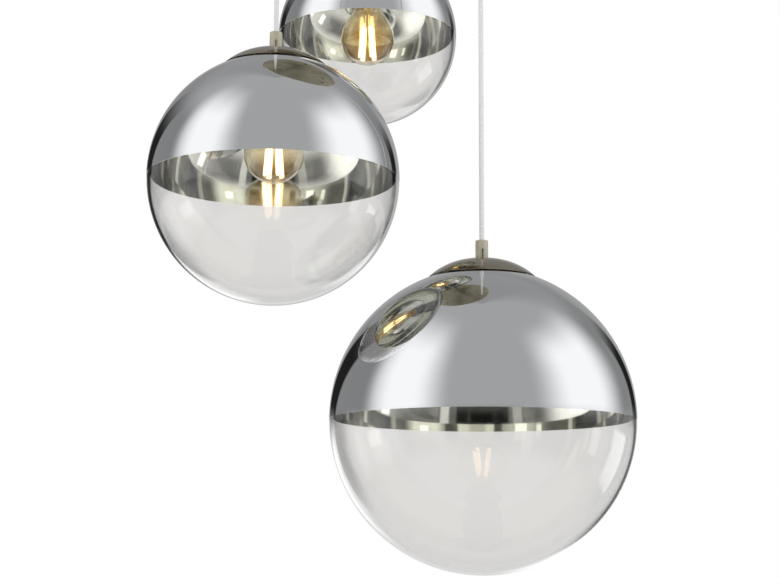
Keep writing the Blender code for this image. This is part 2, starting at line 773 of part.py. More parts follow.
def bulb_side(inset):
    """Side of the bulb's glass from its neck down to its pole, moved inwards by inset."""
    neck_radius = BULB_NECK_RADIUS - inset
    neck_top = Vector((neck_radius, HOLDER_BOTTOM + NECK_IN_BASE))
    neck_end = Vector((neck_radius, HOLDER_BOTTOM - NECK_BELOW_BASE))
    globe = BULB_RADIUS - inset
    latitude = math.radians(SHOULDER_LATITUDE)
    across = Vector((-math.sin(latitude), math.cos(latitude)))
    shoulder = Vector((0, GLOBE_CENTRE)) + globe * Vector((across.y, -across.x))
    rise = neck_end.y - shoulder.y
    near, far = FLARE_HANDLE_SHARES
    flare = bezier(
        neck_end,
        neck_end - Vector((0, rise * far)),
        shoulder + across * rise * near,
        shoulder,
        BULB_FLARE_STEPS,
    )
    side = [neck_top, *flare]
    globe_points = arc(
        (0, GLOBE_CENTRE), globe, SHOULDER_LATITUDE, -90, BULB_GLOBE_STEPS
    )
    outline = [tuple(point) for point in side] + globe_points[1:-1]
    return [*outline, (0, GLOBE_CENTRE - globe)]


def make_bulb_glass(size, head):
    outline = [*reversed(bulb_side(BULB_WALL)), *bulb_side(0)]
    glass = turned(f"{size}_bulb_glass", outline, MEDIUM_SEGMENTS)
    place(paint(glass, "bulb_glass"), PARTS, head)


def make_stick(size, number, bottom, head):
    """One lit stick, leaning outwards towards its lower end."""
    angle = math.radians(45 + number * 360 / STICK_COUNT)
    way = Vector((math.cos(angle), math.sin(angle), 0))
    low = way * STICK_BOTTOM_SPREAD + Vector((0, 0, bottom))
    high = way * STICK_TOP_SPREAD + Vector((0, 0, bottom + STICK_LENGTH))
    length = (high - low).length
    name = f"join_stick_{number}_{size}"
    stick = cylinder(name, STICK_RADIUS, 0, length, STICK_SEGMENTS)
    place(as_helper(stick), CUTTERS, head, low)
    stick.rotation_euler = (high - low).to_track_quat("Z", "Y").to_euler()
    return stick


def make_filament(size, head):
    """Glass stem from the neck, and the lit sticks between an upper and a lower hub."""
    bottom = GLOBE_CENTRE - BULB_RADIUS + STICK_BOTTOM_CLEARANCE
    top = bottom + STICK_LENGTH
    stem_top = HOLDER_BOTTOM + NECK_IN_BASE - STEM_FOOT_HEIGHT
    neck_flat = (BULB_NECK_RADIUS - BULB_WALL) * math.cos(math.pi / MEDIUM_SEGMENTS)
    foot_radius = neck_flat - TOUCH_GAP
    hub = HUB_THICKNESS / 2
    hub_radius = STICK_TOP_SPREAD + STICK_RADIUS + HUB_MARGIN
    outline = [
        (0, stem_top),
        (foot_radius, stem_top),
        (STEM_RADIUS, stem_top - STEM_FOOT_HEIGHT),
        (STEM_RADIUS, top + hub),
        (hub_radius, top + hub),
        (hub_radius, top - hub),
        (0, top - hub),
    ]
    stem = turned(f"{size}_bulb_filament", outline, SMALL_SEGMENTS)
    place(paint(stem, "lit_phosphor"), PARTS, head)
    for number in range(STICK_COUNT):
        combine(stem, make_stick(size, number, bottom, head), "UNION")
    lower = cylinder(
        f"join_lower_hub_{size}",
        STICK_BOTTOM_SPREAD + STICK_RADIUS + HUB_MARGIN,
        bottom - hub,
        bottom + hub,
        SMALL_SEGMENTS,
    )
    place(as_helper(lower), CUTTERS, head)
    combine(stem, lower, "UNION")


def ball_side(size, radius, rings_below):
    """Side of a ball from its opening down. One ring of points lies where the cap sits."""
    opening = math.degrees(math.acos(OPENING_RADIUS / radius))
    seat = math.degrees(math.acos(CAP_SEAT_RADIUS / BALL_RADIUS[size]))
    points = arc((0, 0), radius, opening, seat, BALL_MOUTH_RINGS)[:-1]
    points += arc((0, 0), radius, seat, 0, BALL_UPPER_RINGS)
    if rings_below:
        points += arc((0, 0), radius, 0, -90, rings_below)[1:-1]
        points.append((0, -radius))
    return points


def make_ball(size, centre):
    glass_radius = BALL_RADIUS[size] - COAT_THICKNESS - TOUCH_GAP
    outer = ball_side(size, glass_radius, BALL_LOWER_RINGS)
    inner = ball_side(size, glass_radius - GLASS_WALL, BALL_LOWER_RINGS)
    glass = turned(f"{size}_glass_ball", [*reversed(inner), *outer], BALL_SEGMENTS)
    place(paint(glass, "clear_glass"), PARTS, centre)
    outside = ball_side(size, BALL_RADIUS[size], 0)
    inside = ball_side(size, BALL_RADIUS[size] - COAT_THICKNESS, 0)
    name = f"{size}_mirror_film"
    film = turned(name, [*outside, *reversed(inside)], BALL_SEGMENTS, closed=True)
    place(paint(film, "mirror_film"), PARTS, centre)


def make_pendant(size):
    x, y = outlet(size)
    pivot = make_empty(f"{size}_pivot", None, (x, y, PIVOT_Z))
    head = make_empty(f"{size}_head", pivot, (0, 0, cap_top(size) - PIVOT_Z))
    centre = make_empty(f"{size}_ball_centre", head, (0, 0, -ball_drop(size)))
    make_canopy_grip(size, pivot)
    make_grip_nut(size, pivot)
    make_bush(size, pivot)
    make_tail(size)
    make_cord(size)
    make_cord_grip(size, head)
    make_cap(size, head)
    make_spring_carrier(size, head)
    make_lamp_holder(size, head)
    make_bulb_base(size, head)
    make_bulb_glass(size, head)
    make_filament(size, head)
    make_ball(size, centre)


def shade_round(obj):
    """Applies the modifiers and shades the mesh smooth, with sharp edges where it turns."""
    graph = bpy.context.evaluated_depsgraph_get()
    mesh = bpy.data.meshes.new_from_object(obj.evaluated_get(graph))
    obj.modifiers.clear()
    obj.data = mesh
    mesh.shade_smooth()
    mesh.set_sharp_from_angle(angle=math.radians(SHARP_ANGLE))


make_bracket()
make_fasteners()
make_canopy()
make_terminal_block()
for pendant_size in SIZES:
    make_pendant(pendant_size)

bpy.context.view_layer.update()
for part in PARTS.objects:
    if part.type == "MESH":
        shade_round(part)

for pendant_size in SIZES:
    ball_centre = cap_top(pendant_size) - ball_drop(pendant_size)
    print(f"{pendant_size} ball: centre at {ball_centre:.4f} m")
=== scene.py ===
# %% [markdown]
# # A ceiling light with three half-mirrored glass balls
#
# The lamp hangs from a round canopy. Three clear cords carry three balls of clear glass, each with
# a chrome film on its upper half, a nickel cap, and a lit bulb inside. The engineering model gives
# every piece its place. This script adds the fine surfaces, the finishes, the studio and the camera.
# First the model is loaded.

# %% Load the model
import math

import bpy
from mathutils import Euler, Matrix, Vector


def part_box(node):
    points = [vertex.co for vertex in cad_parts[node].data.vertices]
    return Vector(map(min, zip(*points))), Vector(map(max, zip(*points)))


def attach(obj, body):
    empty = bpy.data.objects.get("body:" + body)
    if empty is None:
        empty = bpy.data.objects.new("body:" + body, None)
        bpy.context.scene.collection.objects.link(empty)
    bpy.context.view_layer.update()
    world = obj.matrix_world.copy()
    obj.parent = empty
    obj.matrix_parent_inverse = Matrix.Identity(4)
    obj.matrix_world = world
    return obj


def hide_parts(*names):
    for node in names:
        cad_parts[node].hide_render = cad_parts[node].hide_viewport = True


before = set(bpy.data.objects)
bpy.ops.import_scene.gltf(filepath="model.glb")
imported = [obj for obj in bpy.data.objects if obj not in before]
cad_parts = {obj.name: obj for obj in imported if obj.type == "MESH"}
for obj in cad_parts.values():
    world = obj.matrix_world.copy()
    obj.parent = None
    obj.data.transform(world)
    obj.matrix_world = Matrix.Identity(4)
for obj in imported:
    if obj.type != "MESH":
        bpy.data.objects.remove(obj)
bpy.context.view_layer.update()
print("loaded", len(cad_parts), "nodes")

# %% [markdown]
# ## Where each pendant hangs
#
# The pieces of a pendant are placed from two points: the head, on the cap's top face, and the
# centre of the ball. Both are read from the model's own boxes. The mirror film is a half ball, so
# its lowest point lies at the ball's centre, and its width is the ball's diameter.

# %% Points read from the model
SIZES = ("large", "medium", "small")
HEAD = {}
CENTRE = {}
RADIUS = {}
for size in SIZES:
    cap_low, cap_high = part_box(f"{size}_cap")
    film_low, film_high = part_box(f"{size}_mirror_film")
    axis = (cap_low + cap_high) / 2
    HEAD[size] = Vector((axis.x, axis.y, cap_high.z))
    CENTRE[size] = Vector((axis.x, axis.y, film_low.z))
    RADIUS[size] = (film_high.x - film_low.x) / 2
    print(size, "ball: radius", round(RADIUS[size], 4), "centre", [round(v, 4) for v in CENTRE[size]])

# %% [markdown]
# ## Camera
#
# The photograph looks slightly upwards from below the largest ball, with a long lens and no shift.
# The three balls have known sizes and places, so their outlines in the photograph fix the lens, the
# distance and the turn. The photograph leans to one side by a third of a degree.

# %% Camera
LENS_MM = 74.47
CAMERA_PLACE = Vector((-0.1129, -1.6261, -0.8356))
CAMERA_PITCH = 9.216
CAMERA_TURN = 4.579
CAMERA_ROLL = 0.302

aim = Euler((math.radians(90 + CAMERA_PITCH), 0, math.radians(-CAMERA_TURN))).to_matrix()
roll = Matrix.Rotation(math.radians(CAMERA_ROLL), 3, "Z")
bpy.ops.object.select_all(action="DESELECT")
bpy.ops.object.camera_add(location=CAMERA_PLACE, rotation=(aim @ roll).to_euler())
camera = bpy.context.object
camera.name = "camera"
camera.data.lens = LENS_MM
bpy.context.scene.camera = camera
print("camera at", [round(v, 3) for v in camera.location])

# %% [markdown]
# ## Tools for modelling
#
# The same few steps come back for most pieces: add a primitive with nothing else selected, put its
# place into its mesh, round its edges, cut a hole. Round pieces are turned: a ring of edges is
# extruded and scaled from point to point of an outline, as one would do by hand. A turned piece gets
# a UV map whose U runs round the axis, so that turning marks can follow the surface.

# %% Selecting, settling and shading
POLE = 0.000001
SMOOTH_ANGLE = math.radians(35)


def select_only(piece):
    bpy.ops.object.select_all(action="DESELECT")
    piece.select_set(True)
    bpy.context.view_layer.objects.active = piece


def settle(piece):
    """Applies modifiers, place, turn and scale, so that the mesh holds the whole shape."""
    select_only(piece)
    for modifier in list(piece.modifiers):
        bpy.ops.object.modifier_apply(modifier=modifier.name)
    bpy.ops.object.transform_apply(location=True, rotation=True, scale=True)


def bevel(piece, width, segments=3, angle=SMOOTH_ANGLE):
    """Rounds the edges of a piece that turn by more than an angle."""
    rounding = piece.modifiers.new("Rounding", "BEVEL")
    rounding.width = width
    rounding.segments = segments
    rounding.limit_method = "ANGLE"
    rounding.angle_limit = angle
    settle(piece)


def join(pieces, name):
    bpy.ops.object.select_all(action="DESELECT")
    for piece in pieces:
        piece.select_set(True)
    bpy.context.view_layer.objects.active = pieces[0]
    bpy.ops.object.join()
    pieces[0].name = name
    return pieces[0]


def cut(piece, cutter):
    """Takes the cutter's shape out of a piece and deletes the cutter."""
    difference = piece.modifiers.new("Cut", "BOOLEAN")
    difference.operation = "DIFFERENCE"
    difference.solver = "EXACT"
    difference.object = cutter
    settle(piece)
    bpy.data.objects.remove(cutter)


# %% Adding primitives


def primitive(add, **settings):
    """Adds a mesh by one of the primitive operators, with nothing else selected, and settles it."""
    bpy.ops.object.select_all(action="DESELECT")
    add(**settings)
    piece = bpy.context.object
    settle(piece)
    return piece


def box_between(low, high):
    """A cube that is added at the size and place between two corners."""
    middle = [(a + b) / 2 for a, b in zip(low, high)]
    sides = [b - a for a, b in zip(low, high)]
    return primitive(bpy.ops.mesh.primitive_cube_add, size=1, location=middle, scale=sides)


def post(radius, low, high, x=0.0, y=0.0, vertices=40, **settings):
    """A round post between two heights."""
    settings |= {"radius": radius, "depth": high - low, "vertices": vertices}
    place = (x, y, (low + high) / 2)
    return primitive(bpy.ops.mesh.primitive_cylinder_add, location=place, **settings)


def rod(radius, start, end, vertices=40):
    """A round rod between two points, which may lie any way."""
    turn = (end - start).to_track_quat("Z", "Y").to_euler()
    settings = {"location": (start + end) / 2, "rotation": turn, "vertices": vertices}
    length = (end - start).length
    return primitive(bpy.ops.mesh.primitive_cylinder_add, radius=radius, depth=length, **settings)


# %% Turning a piece from an outline


def map_turning(piece):
    """A UV map for turned pieces: U is the angle in turns, V grows outwards and downwards."""
    layer = piece.data.uv_layers.new(name="turning")
    points = [vertex.co for vertex in piece.data.vertices]
    for polygon in piece.data.polygons:
        middle = math.atan2(polygon.center.y, polygon.center.x)
        for loop_index in polygon.loop_indices:
            point = points[piece.data.loops[loop_index].vertex_index]
            angle = math.atan2(point.y, point.x)
            angle -= 2 * math.pi * round((angle - middle) / (2 * math.pi))
            layer.data[loop_index].uv = (angle / (2 * math.pi), point.xy.length - point.z)


def lathe(name, outline, segments=96):
    """Extrudes and scales a ring of edges from point to point of a (radius, height) outline."""
    radius, height = outline[0]
    start = {"radius": max(radius, POLE), "location": (0, 0, height), "vertices": segments}
    piece = primitive(bpy.ops.mesh.primitive_circle_add, **start)
    piece.name = name
    bpy.ops.object.mode_set(mode="EDIT")
    bpy.ops.mesh.select_mode(type="EDGE")
    bpy.ops.mesh.select_all(action="SELECT")
    for next_radius, next_height in outline[1:]:
        step = {"value": (0, 0, next_height - height)}
        bpy.ops.mesh.extrude_edges_move(TRANSFORM_OT_translate=step)
        growth = max(next_radius, POLE) / max(radius, POLE)
        bpy.ops.transform.resize(value=(growth, growth, 1), center_override=(0, 0, next_height))
        radius, height = next_radius, next_height
    bpy.ops.mesh.select_all(action="SELECT")
    bpy.ops.mesh.remove_doubles(threshold=3 * POLE)
    bpy.ops.mesh.normals_make_consistent(inside=False)
    bpy.ops.object.mode_set(mode="OBJECT")
    map_turning(piece)
    return piece


def flat_ring(name, inner, outer, high, low):
    """A turned washer with a square section."""
    outline = [(inner, high), (outer, high), (outer, low), (inner, low)]
    return lathe(name, [*outline, outline[0]], 64)


def arc(centre, radius, start, end, steps):
    """Points of (radius, height) on an arc, with angles in degrees from the horizontal."""
    angles = [math.radians(start + (end - start) * i / steps) for i in range(steps + 1)]
    return [(centre[0] + radius * math.cos(a), centre[1] + radius * math.sin(a)) for a in angles]


def curve_between(first, second, third, last, steps):
    """Points on a cubic curve from first to last, drawn by the two points between."""
    points = []
    for i in range(steps + 1):
        t = i / steps
        s = 1 - t
        weights = (s**3, 3 * s * s * t, 3 * s * t * t, t**3)
        rows = zip(first, second, third, last)
        points.append(tuple(sum(w * value for w, value in zip(weights, row)) for row in rows))
    return points


# %% Putting a model at every place


def finish_piece(piece, body, nodes):
    """Smooths a piece, and makes it move with its body and stand for its nodes."""
    select_only(piece)
    bpy.ops.object.shade_smooth_by_angle(angle=SMOOTH_ANGLE)
    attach(piece, body)
    if nodes:
        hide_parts(*nodes)


def hang(model, stem, places, body, slot, *node_stems):
    """Copies a model that was made at the origin to each named place, then removes the model.

    Body may hold the word WHICH, which stands for the place's name.
    """
    for which, place in places.items():
        select_only(model)
        bpy.ops.object.duplicate()
        piece = bpy.context.object
        piece.name = f"{which}_{stem}"
        piece.location = place
        settle(piece)
        nodes = [f"{which}_{node}" for node in node_stems]
        finish_piece(piece, body.replace("WHICH", which), nodes)
    print(stem, "made", len(places), "times,", len(model.data.polygons), "faces each")
    bpy.data.objects.remove(model)


# %% [markdown]
# ## Patterns shared by the finishes
#
# No real surface is quite even. Two node groups give the finishes their variation. The first puts
# out a soft cloudy value, for roughness that changes where a hand has touched the piece. The second
# reads the turning map and puts out fine rings, as a polishing wheel leaves them on spun metal.

# %% Small tools for nodes


def add_node(tree, kind, inputs=(), **settings):
    """A node with these settings, whose inputs are plain values or other nodes' outputs."""
    node = tree.nodes.new(kind)
    for key, value in settings.items():
        setattr(node, key, value)
    for key, value in dict(inputs).items():
        if isinstance(value, bpy.types.NodeSocket):
            tree.links.new(value, node.inputs[key])
        else:
            node.inputs[key].default_value = value
    return node


def math_node(tree, operation, *values):
    return add_node(tree, "ShaderNodeMath", enumerate(values), operation=operation).outputs[0]


def mix_colours(tree, factor, first, second):
    """Mixes two colours, each a grey, a colour or another node's output."""
    inputs = {"Factor": factor, "A": first, "B": second}
    for key, value in (("A", first), ("B", second)):
        if isinstance(value, float):
            inputs[key] = (value, value, value, 1)
        elif isinstance(value, tuple):
            inputs[key] = (*value, 1)
    return add_node(tree, "ShaderNodeMix", inputs, data_type="RGBA").outputs["Result"]


def new_group(name, inputs, output):
    """A shader group with one output value. Inputs are (name, value) pairs."""
    group = bpy.data.node_groups.new(name, "ShaderNodeTree")
    for socket_name, value in inputs:
        socket = group.interface.new_socket(socket_name, in_out="INPUT", socket_type="NodeSocketFloat")
        socket.default_value = value
    group.interface.new_socket(output, in_out="OUTPUT", socket_type="NodeSocketFloat")
    ends = (group.nodes.new("NodeGroupInput"), group.nodes.new("NodeGroupOutput"))
    return group, *ends


# %% Node groups


def clouds_group():
    """Soft noise on object coordinates, spread between Low and High."""
    inputs = (("Scale", 40.0), ("Low", 0.0), ("High", 1.0))
    group, start, end = new_group("clouds", inputs, "Value")
    scale, low, high = start.outputs[:3]
    place = add_node(group, "ShaderNodeTexCoord").outputs["Object"]
    noise = add_node(group, "ShaderNodeTexNoise", {"Vector": place, "Scale": scale, "Detail": 4})
    limits = {"From Min": 0.3, "From Max": 0.7, "To Min": low, "To Max": high}
    spread = add_node(group, "ShaderNodeMapRange", {"Value": noise.outputs["Fac"], **limits})
    group.links.new(spread.outputs["Result"], end.inputs["Value"])
    return group


def rings_group():
    """Fine rings round the axis of a turned piece, from its turning map."""
    group, start, end = new_group("turning_rings", (("Fineness", 2500.0),), "Value")
    turning = add_node(group, "ShaderNodeUVMap", uv_map="turning").outputs["UV"]
    parts = add_node(group, "ShaderNodeSeparateXYZ", {"Vector": turning}).outputs
    angle = math_node(group, "MULTIPLY", parts["X"], 2 * math.pi)
    across, along = math_node(group, "COSINE", angle), math_node(group, "SINE", angle)
    depth = math_node(group, "MULTIPLY", parts["Y"], start.outputs["Fineness"])
    place = add_node(group, "ShaderNodeCombineXYZ", {"X": across, "Y": along, "Z": depth})
    inputs = {"Vector": place.outputs["Vector"], "Scale": 1, "Detail": 3}
    noise = add_node(group, "ShaderNodeTexNoise", inputs)
    group.links.new(noise.outputs["Fac"], end.inputs["Value"])
    return group


CLOUDS = clouds_group()
RINGS = rings_group()
print("groups:", CLOUDS.name, RINGS.name)

# %% [markdown]
# ## Finishes
#
# Each finish is one Principled shader. Its sockets hold the plain values, and the groups add what
# varies. Metals read their colour from Base Color. Glass has full transmission and a grey that
# darkens the white behind it a little, as the real balls do. The canopy is brushed round its axis,
# so its shine stretches across the brush marks: the turning map gives the shader their direction.

# %% Making a finish


def feed(made, socket, value):
    """Leads a node's output into a socket of the material's shader."""
    made.node_tree.links.new(value, made.node_tree.nodes["Principled BSDF"].inputs[socket])


def pattern(made, group, fineness, **inputs):
    """The value of a group, placed in a material with its own fineness or scale."""
    inputs = {0: fineness, **inputs}
    return add_node(made.node_tree, "ShaderNodeGroup", inputs, node_tree=group).outputs["Value"]


def finish(name, colour, metallic, clouds, low, high, **sockets):
    """A Principled material whose roughness drifts between low and high, in clouds of a scale.

    Other sockets are given by name, with _ for a space.
    """
    made = bpy.data.materials.new(name)
    made.use_nodes = True
    sockets |= {"Base Color": (*colour, 1), "Metallic": metallic}
    for key, value in sockets.items():
        made.node_tree.nodes["Principled BSDF"].inputs[key.replace("_", " ")].default_value = value
    feed(made, "Roughness", pattern(made, CLOUDS, clouds, Low=low, High=high))
    return made


def add_bump(made, group, fineness, strength, depth=0.0002):
    """Raises the surface by the value of a group."""
    inputs = {"Strength": strength, "Distance": depth, "Height": pattern(made, group, fineness)}
    feed(made, "Normal", add_node(made.node_tree, "ShaderNodeBump", inputs).outputs["Normal"])


def vary_colour(made, group, fineness, dark, light):
    """Mixes two colours by the value of a group."""
    value = pattern(made, group, fineness)
    feed(made, "Base Color", mix_colours(made.node_tree, value, dark, light))


def glow(made, middle, edge, blend):
    """Gives light of one colour where the surface faces the eye, and of another at its edges."""
    facing = add_node(made.node_tree, "ShaderNodeLayerWeight", {"Blend": blend}).outputs["Facing"]
    feed(made, "Emission Color", mix_colours(made.node_tree, facing, middle, edge))


def coat(piece, *finishes):
    piece.data.materials.clear()
    for made in finishes:
        piece.data.materials.append(made)


# %% Metals
CHROME = finish("chrome_film", (0.59, 0.60, 0.61), 1.0, 9.0, 0.012, 0.03)
CHROME_BACK = finish("chrome_film_back", (0.83, 0.84, 0.77), 1.0, 9.0, 0.02, 0.05)
SPRING = finish("spring_steel", (0.56, 0.57, 0.59), 1.0, 120.0, 0.2, 0.34)
BRASS = finish("contact_brass", (0.80, 0.62, 0.32), 1.0, 150.0, 0.25, 0.4)
BULB_METAL = finish("bulb_metal", (0.74, 0.74, 0.73), 1.0, 150.0, 0.2, 0.36)
ZINC = finish("zinc_plate", (0.66, 0.67, 0.68), 1.0, 90.0, 0.28, 0.46)
vary_colour(ZINC, CLOUDS, 140.0, (0.58, 0.59, 0.60), (0.74, 0.75, 0.75))

CAP_NICKEL = finish("spun_nickel", (0.33, 0.30, 0.235), 1.0, 60.0, 0.07, 0.12)
vary_colour(CAP_NICKEL, RINGS, 400.0, (0.24, 0.215, 0.165), (0.40, 0.37, 0.29))
add_bump(CAP_NICKEL, RINGS, 1200.0, 0.03)

BRUSHED = {"Anisotropic": 0.9, "Anisotropic_Rotation": 0.25}
NICKEL = finish("satin_nickel", (0.42, 0.385, 0.28), 1.0, 60.0, 0.27, 0.34, **BRUSHED)
vary_colour(NICKEL, RINGS, 400.0, (0.38, 0.345, 0.25), (0.46, 0.425, 0.315))
add_bump(NICKEL, RINGS, 1200.0, 0.02)
grain = add_node(NICKEL.node_tree, "ShaderNodeTangent", direction_type="UV_MAP", uv_map="turning")
feed(NICKEL, "Tangent", grain.outputs["Tangent"])
print("metals:", len(bpy.data.materials))

# %% Glass and light
# The bulb's glass glows a little, which stands for the haze of light round the sticks.
GLASS = {"Transmission_Weight": 1.0, "IOR": 1.46}
HAZE = 0.08
WARM_HAZE = (1.0, 0.56, 0.08)
STICK_GLOW = 4.0
HOT_CORE = (1.0, 0.86, 0.62)
GOLDEN_EDGE = (0.49, 0.21, 0.03)
BLACK = (0.0, 0.0, 0.0)

CLEAR_GLASS = finish("clear_glass", (0.985, 0.98, 0.97), 0.0, 14.0, 0.0, 0.012, **GLASS)
BULB_GLASS = finish("bulb_glass", (0.83, 0.82, 0.73), 0.0, 30.0, 0.0, 0.01, Emission_Strength=HAZE, **GLASS)
PHOSPHOR = finish("lit_phosphor", (1.0, 0.62, 0.22), 0.0, 400.0, 0.4, 0.6, Emission_Strength=STICK_GLOW)
glow(BULB_GLASS, WARM_HAZE, BLACK, 0.85)
glow(PHOSPHOR, HOT_CORE, GOLDEN_EDGE, 0.6)
print("finishes:", len(bpy.data.materials))

# %% Plastics and ceramic
CLEAR_SKIN = {"Transmission_Weight": 0.15, "IOR": 1.4}
CLEAR_BODY = {"Transmission_Weight": 0.4, "IOR": 1.49}
CABLE = finish("clear_cable", (1.0, 1.0, 0.99), 0.0, 300.0, 0.16, 0.3, **CLEAR_SKIN)
CLEAR_PLASTIC = finish("clear_plastic", (0.74, 0.70, 0.54), 0.0, 200.0, 0.1, 0.22, **CLEAR_BODY)
SLOT_DARK = finish("slot_shadow", (0.05, 0.048, 0.04), 0.0, 400.0, 0.5, 0.7)
NYLON = finish("white_nylon", (0.84, 0.84, 0.82), 0.0, 200.0, 0.36, 0.5)
CERAMIC = finish("ceramic", (0.85, 0.83, 0.79), 0.0, 250.0, 0.42, 0.6)
HOLDER = finish("holder_plastic", (0.88, 0.87, 0.84), 0.0, 180.0, 0.36, 0.5)
add_bump(HOLDER, CLOUDS, 900.0, 0.15)
print("finishes:", len(bpy.data.materials))

# %% [markdown]
# ## Cords
#
# A pendant hangs on one straight clear cord. It leaves the nylon bush in the canopy's grip and runs
# down into the lamp holder. The weight of the ball keeps it taut, so its route is a straight line,
# with the same points as the engineering model. A curve with a round bevel is the plainest way.

# %% Cords
CORD_RADIUS = 0.0024
CORD_STEPS = 20


def lay_cable(name, places, body, node):
    """A round cable along a row of places, which rides on a body and stands for a node."""
    curve = bpy.data.curves.new(name, "CURVE")
    curve.dimensions = "3D"
    curve.bevel_depth = CORD_RADIUS
    curve.bevel_resolution = 6
    curve.use_fill_caps = True
    route = curve.splines.new("POLY")
    route.points.add(len(places) - 1)
    for point, place in zip(route.points, places):
        point.co = (*place, 1)
    cable = bpy.data.objects.new(name, curve)
    bpy.context.scene.collection.objects.link(cable)
    coat(cable, CABLE)
    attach(cable, body)
    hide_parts(node)
    return cable


for size in SIZES:
    cord_low, cord_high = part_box(f"{size}_cord")
    x, y = HEAD[size].x, HEAD[size].y
    drop = cord_low.z - cord_high.z
    places = [(x, y, cord_high.z + drop * i / CORD_STEPS) for i in range(CORD_STEPS + 1)]
    cord = lay_cable(f"{size}_clear_cord", places, f"{size}_cord", f"{size}_cord")
    print(size, "cord is", round(-drop, 4), "m long")

# %% [markdown]
# ## Glass balls
#
# A ball is blown in one piece with an opening of 74 mm at the top. It starts as a sphere that is cut
# open by a plane, and Solidify gives it its wall, inwards. The glass shows only through bending and
# reflecting light, so it needs many smooth faces and a real wall.

# %% Glass balls
OPENING_RADIUS = 0.037
FILM_THICKNESS = 0.00025
FILM_GAP = 0.00005
GLASS_WALL = 0.0030
BALL_SEGMENTS = 240
BALL_RINGS = 120


def cut_open(piece, point, away):
    """Takes away what lies beyond a plane through a point."""
    select_only(piece)
    bpy.ops.object.mode_set(mode="EDIT")
    bpy.ops.mesh.select_all(action="SELECT")
    bpy.ops.mesh.bisect(plane_co=point, plane_no=away, clear_outer=True)
    bpy.ops.object.mode_set(mode="OBJECT")


def open_ball(name, centre, radius):
    """A sphere that is cut open at the top, where its radius is that of the opening."""
    faces = {"segments": BALL_SEGMENTS, "ring_count": BALL_RINGS}
    ball = primitive(bpy.ops.mesh.primitive_uv_sphere_add, radius=radius, location=centre, **faces)
    ball.name = name
    top = centre + Vector((0, 0, math.sqrt(radius**2 - OPENING_RADIUS**2)))
    cut_open(ball, top, (0, 0, 1))
    return ball


def thicken(piece, thickness, back_finish=0):
    """Gives a surface a wall on its inner side."""
    wall = piece.modifiers.new("Wall", "SOLIDIFY")
    wall.thickness = thickness
    wall.offset = -1
    wall.use_even_offset = True
    wall.material_offset = back_finish
    wall.material_offset_rim = back_finish
    settle(piece)


for size in SIZES:
    glass_radius = RADIUS[size] - FILM_THICKNESS - FILM_GAP
    glass = open_ball(f"{size}_clear_ball", CENTRE[size], glass_radius)
    coat(glass, CLEAR_GLASS)
    thicken(glass, GLASS_WALL)
    finish_piece(glass, f"{size}_ball", [f"{size}_glass_ball"])
    print(glass.name, len(glass.data.polygons), "faces")

# %% [markdown]
# ## Mirror films
#
# The film is chrome on the outside of the upper half. It is the same sphere, cut a second time at
# the middle. Its back is seen through the glass and looks a little olive, so Solidify gives the
# inner side the second finish.

# %% Mirror films
for size in SIZES:
    film = open_ball(f"{size}_chrome_half", CENTRE[size], RADIUS[size])
    cut_open(film, CENTRE[size], (0, 0, -1))
    coat(film, CHROME, CHROME_BACK)
    thicken(film, FILM_THICKNESS, back_finish=1)
    finish_piece(film, f"{size}_ball", [f"{size}_mirror_film"])
    print(film.name, len(film.data.polygons), "faces")

# %% [markdown]
# ## Caps
#
# The cap is a spun nickel dome of 107 mm, with a flat land under the cord grip and a small rolled
# rim that rests on the ball. The outline runs down the outside, round the rim and back up inside.

# %% Caps
CAP_RADIUS = 0.0535
CAP_HEIGHT = 0.0185
CAP_WALL = 0.001
CAP_LAND_RADIUS = 0.0075
CORD_HOLE = 0.0053


def dome(inset, steps):
    """The cap's side from its land to its rim, moved inwards by inset."""
    reach = CAP_RADIUS - CAP_LAND_RADIUS
    bow = (reach**2 + CAP_HEIGHT**2) / (2 * CAP_HEIGHT)
    rim = math.degrees(math.acos((bow - CAP_HEIGHT) / (bow - inset)))
    return arc((CAP_LAND_RADIUS, -bow), bow - inset, 90, 90 - rim, steps)


cap_outline = [(CORD_HOLE, 0), *dome(0, 24), *reversed(dome(CAP_WALL, 24)), (CORD_HOLE, -CAP_WALL)]
cap = lathe("cap", [*cap_outline, cap_outline[0]], 128)
bevel(cap, 0.0003, 2)
coat(cap, CAP_NICKEL)
hang(cap, "nickel_cap", HEAD, "WHICH_head", "satin_nickel", "cap")

# %% [markdown]
# ## Cord grips
#
# A clear plastic grip stands on the cap and clamps the cord. It is turned with a bore, and a slot
# is cut into its front, through which the cord shows. A small grub screw sits at its back.

# %% Cord grips
GRIP_RADIUS = 0.0063
GRIP_LENGTH = 0.019
GRIP_FOOT = 0.0003
GRIP_BORE = 0.0028
GRIP_NECK_RADIUS = 0.005
GRIP_NECK = 0.013
SLOT_HALF = 0.00075
SLOT_DEPTH = 0.0085
SLOT_FOOT = 0.0011
SLOT_HEAD = 0.0103

grip_top, neck_foot = GRIP_FOOT + GRIP_LENGTH, GRIP_FOOT - GRIP_NECK
grip_outline = [(GRIP_RADIUS, GRIP_FOOT), (GRIP_RADIUS, grip_top), (GRIP_BORE, grip_top)]
grip_outline += [(GRIP_BORE, neck_foot), (GRIP_NECK_RADIUS, neck_foot), (GRIP_NECK_RADIUS, GRIP_FOOT)]
grip = lathe("grip", [*grip_outline, grip_outline[0]], 64)
bevel(grip, 0.0006, 3)
cut(grip, box_between((-SLOT_HALF, -SLOT_DEPTH, SLOT_FOOT), (SLOT_HALF, 0, SLOT_HEAD)))
# The slot's side walls get the near-black slot_shadow finish, which is painted shade inside the slot.
coat(grip, CLEAR_PLASTIC, SLOT_DARK)
for face in grip.data.polygons:
    on_wall = abs(abs(face.center.x) - SLOT_HALF) < POLE and abs(face.normal.x) > 0.99
    face.material_index = 1 if on_wall else 0
hang(grip, "clear_grip", HEAD, "WHICH_head", "clear_plastic", "cord_grip")

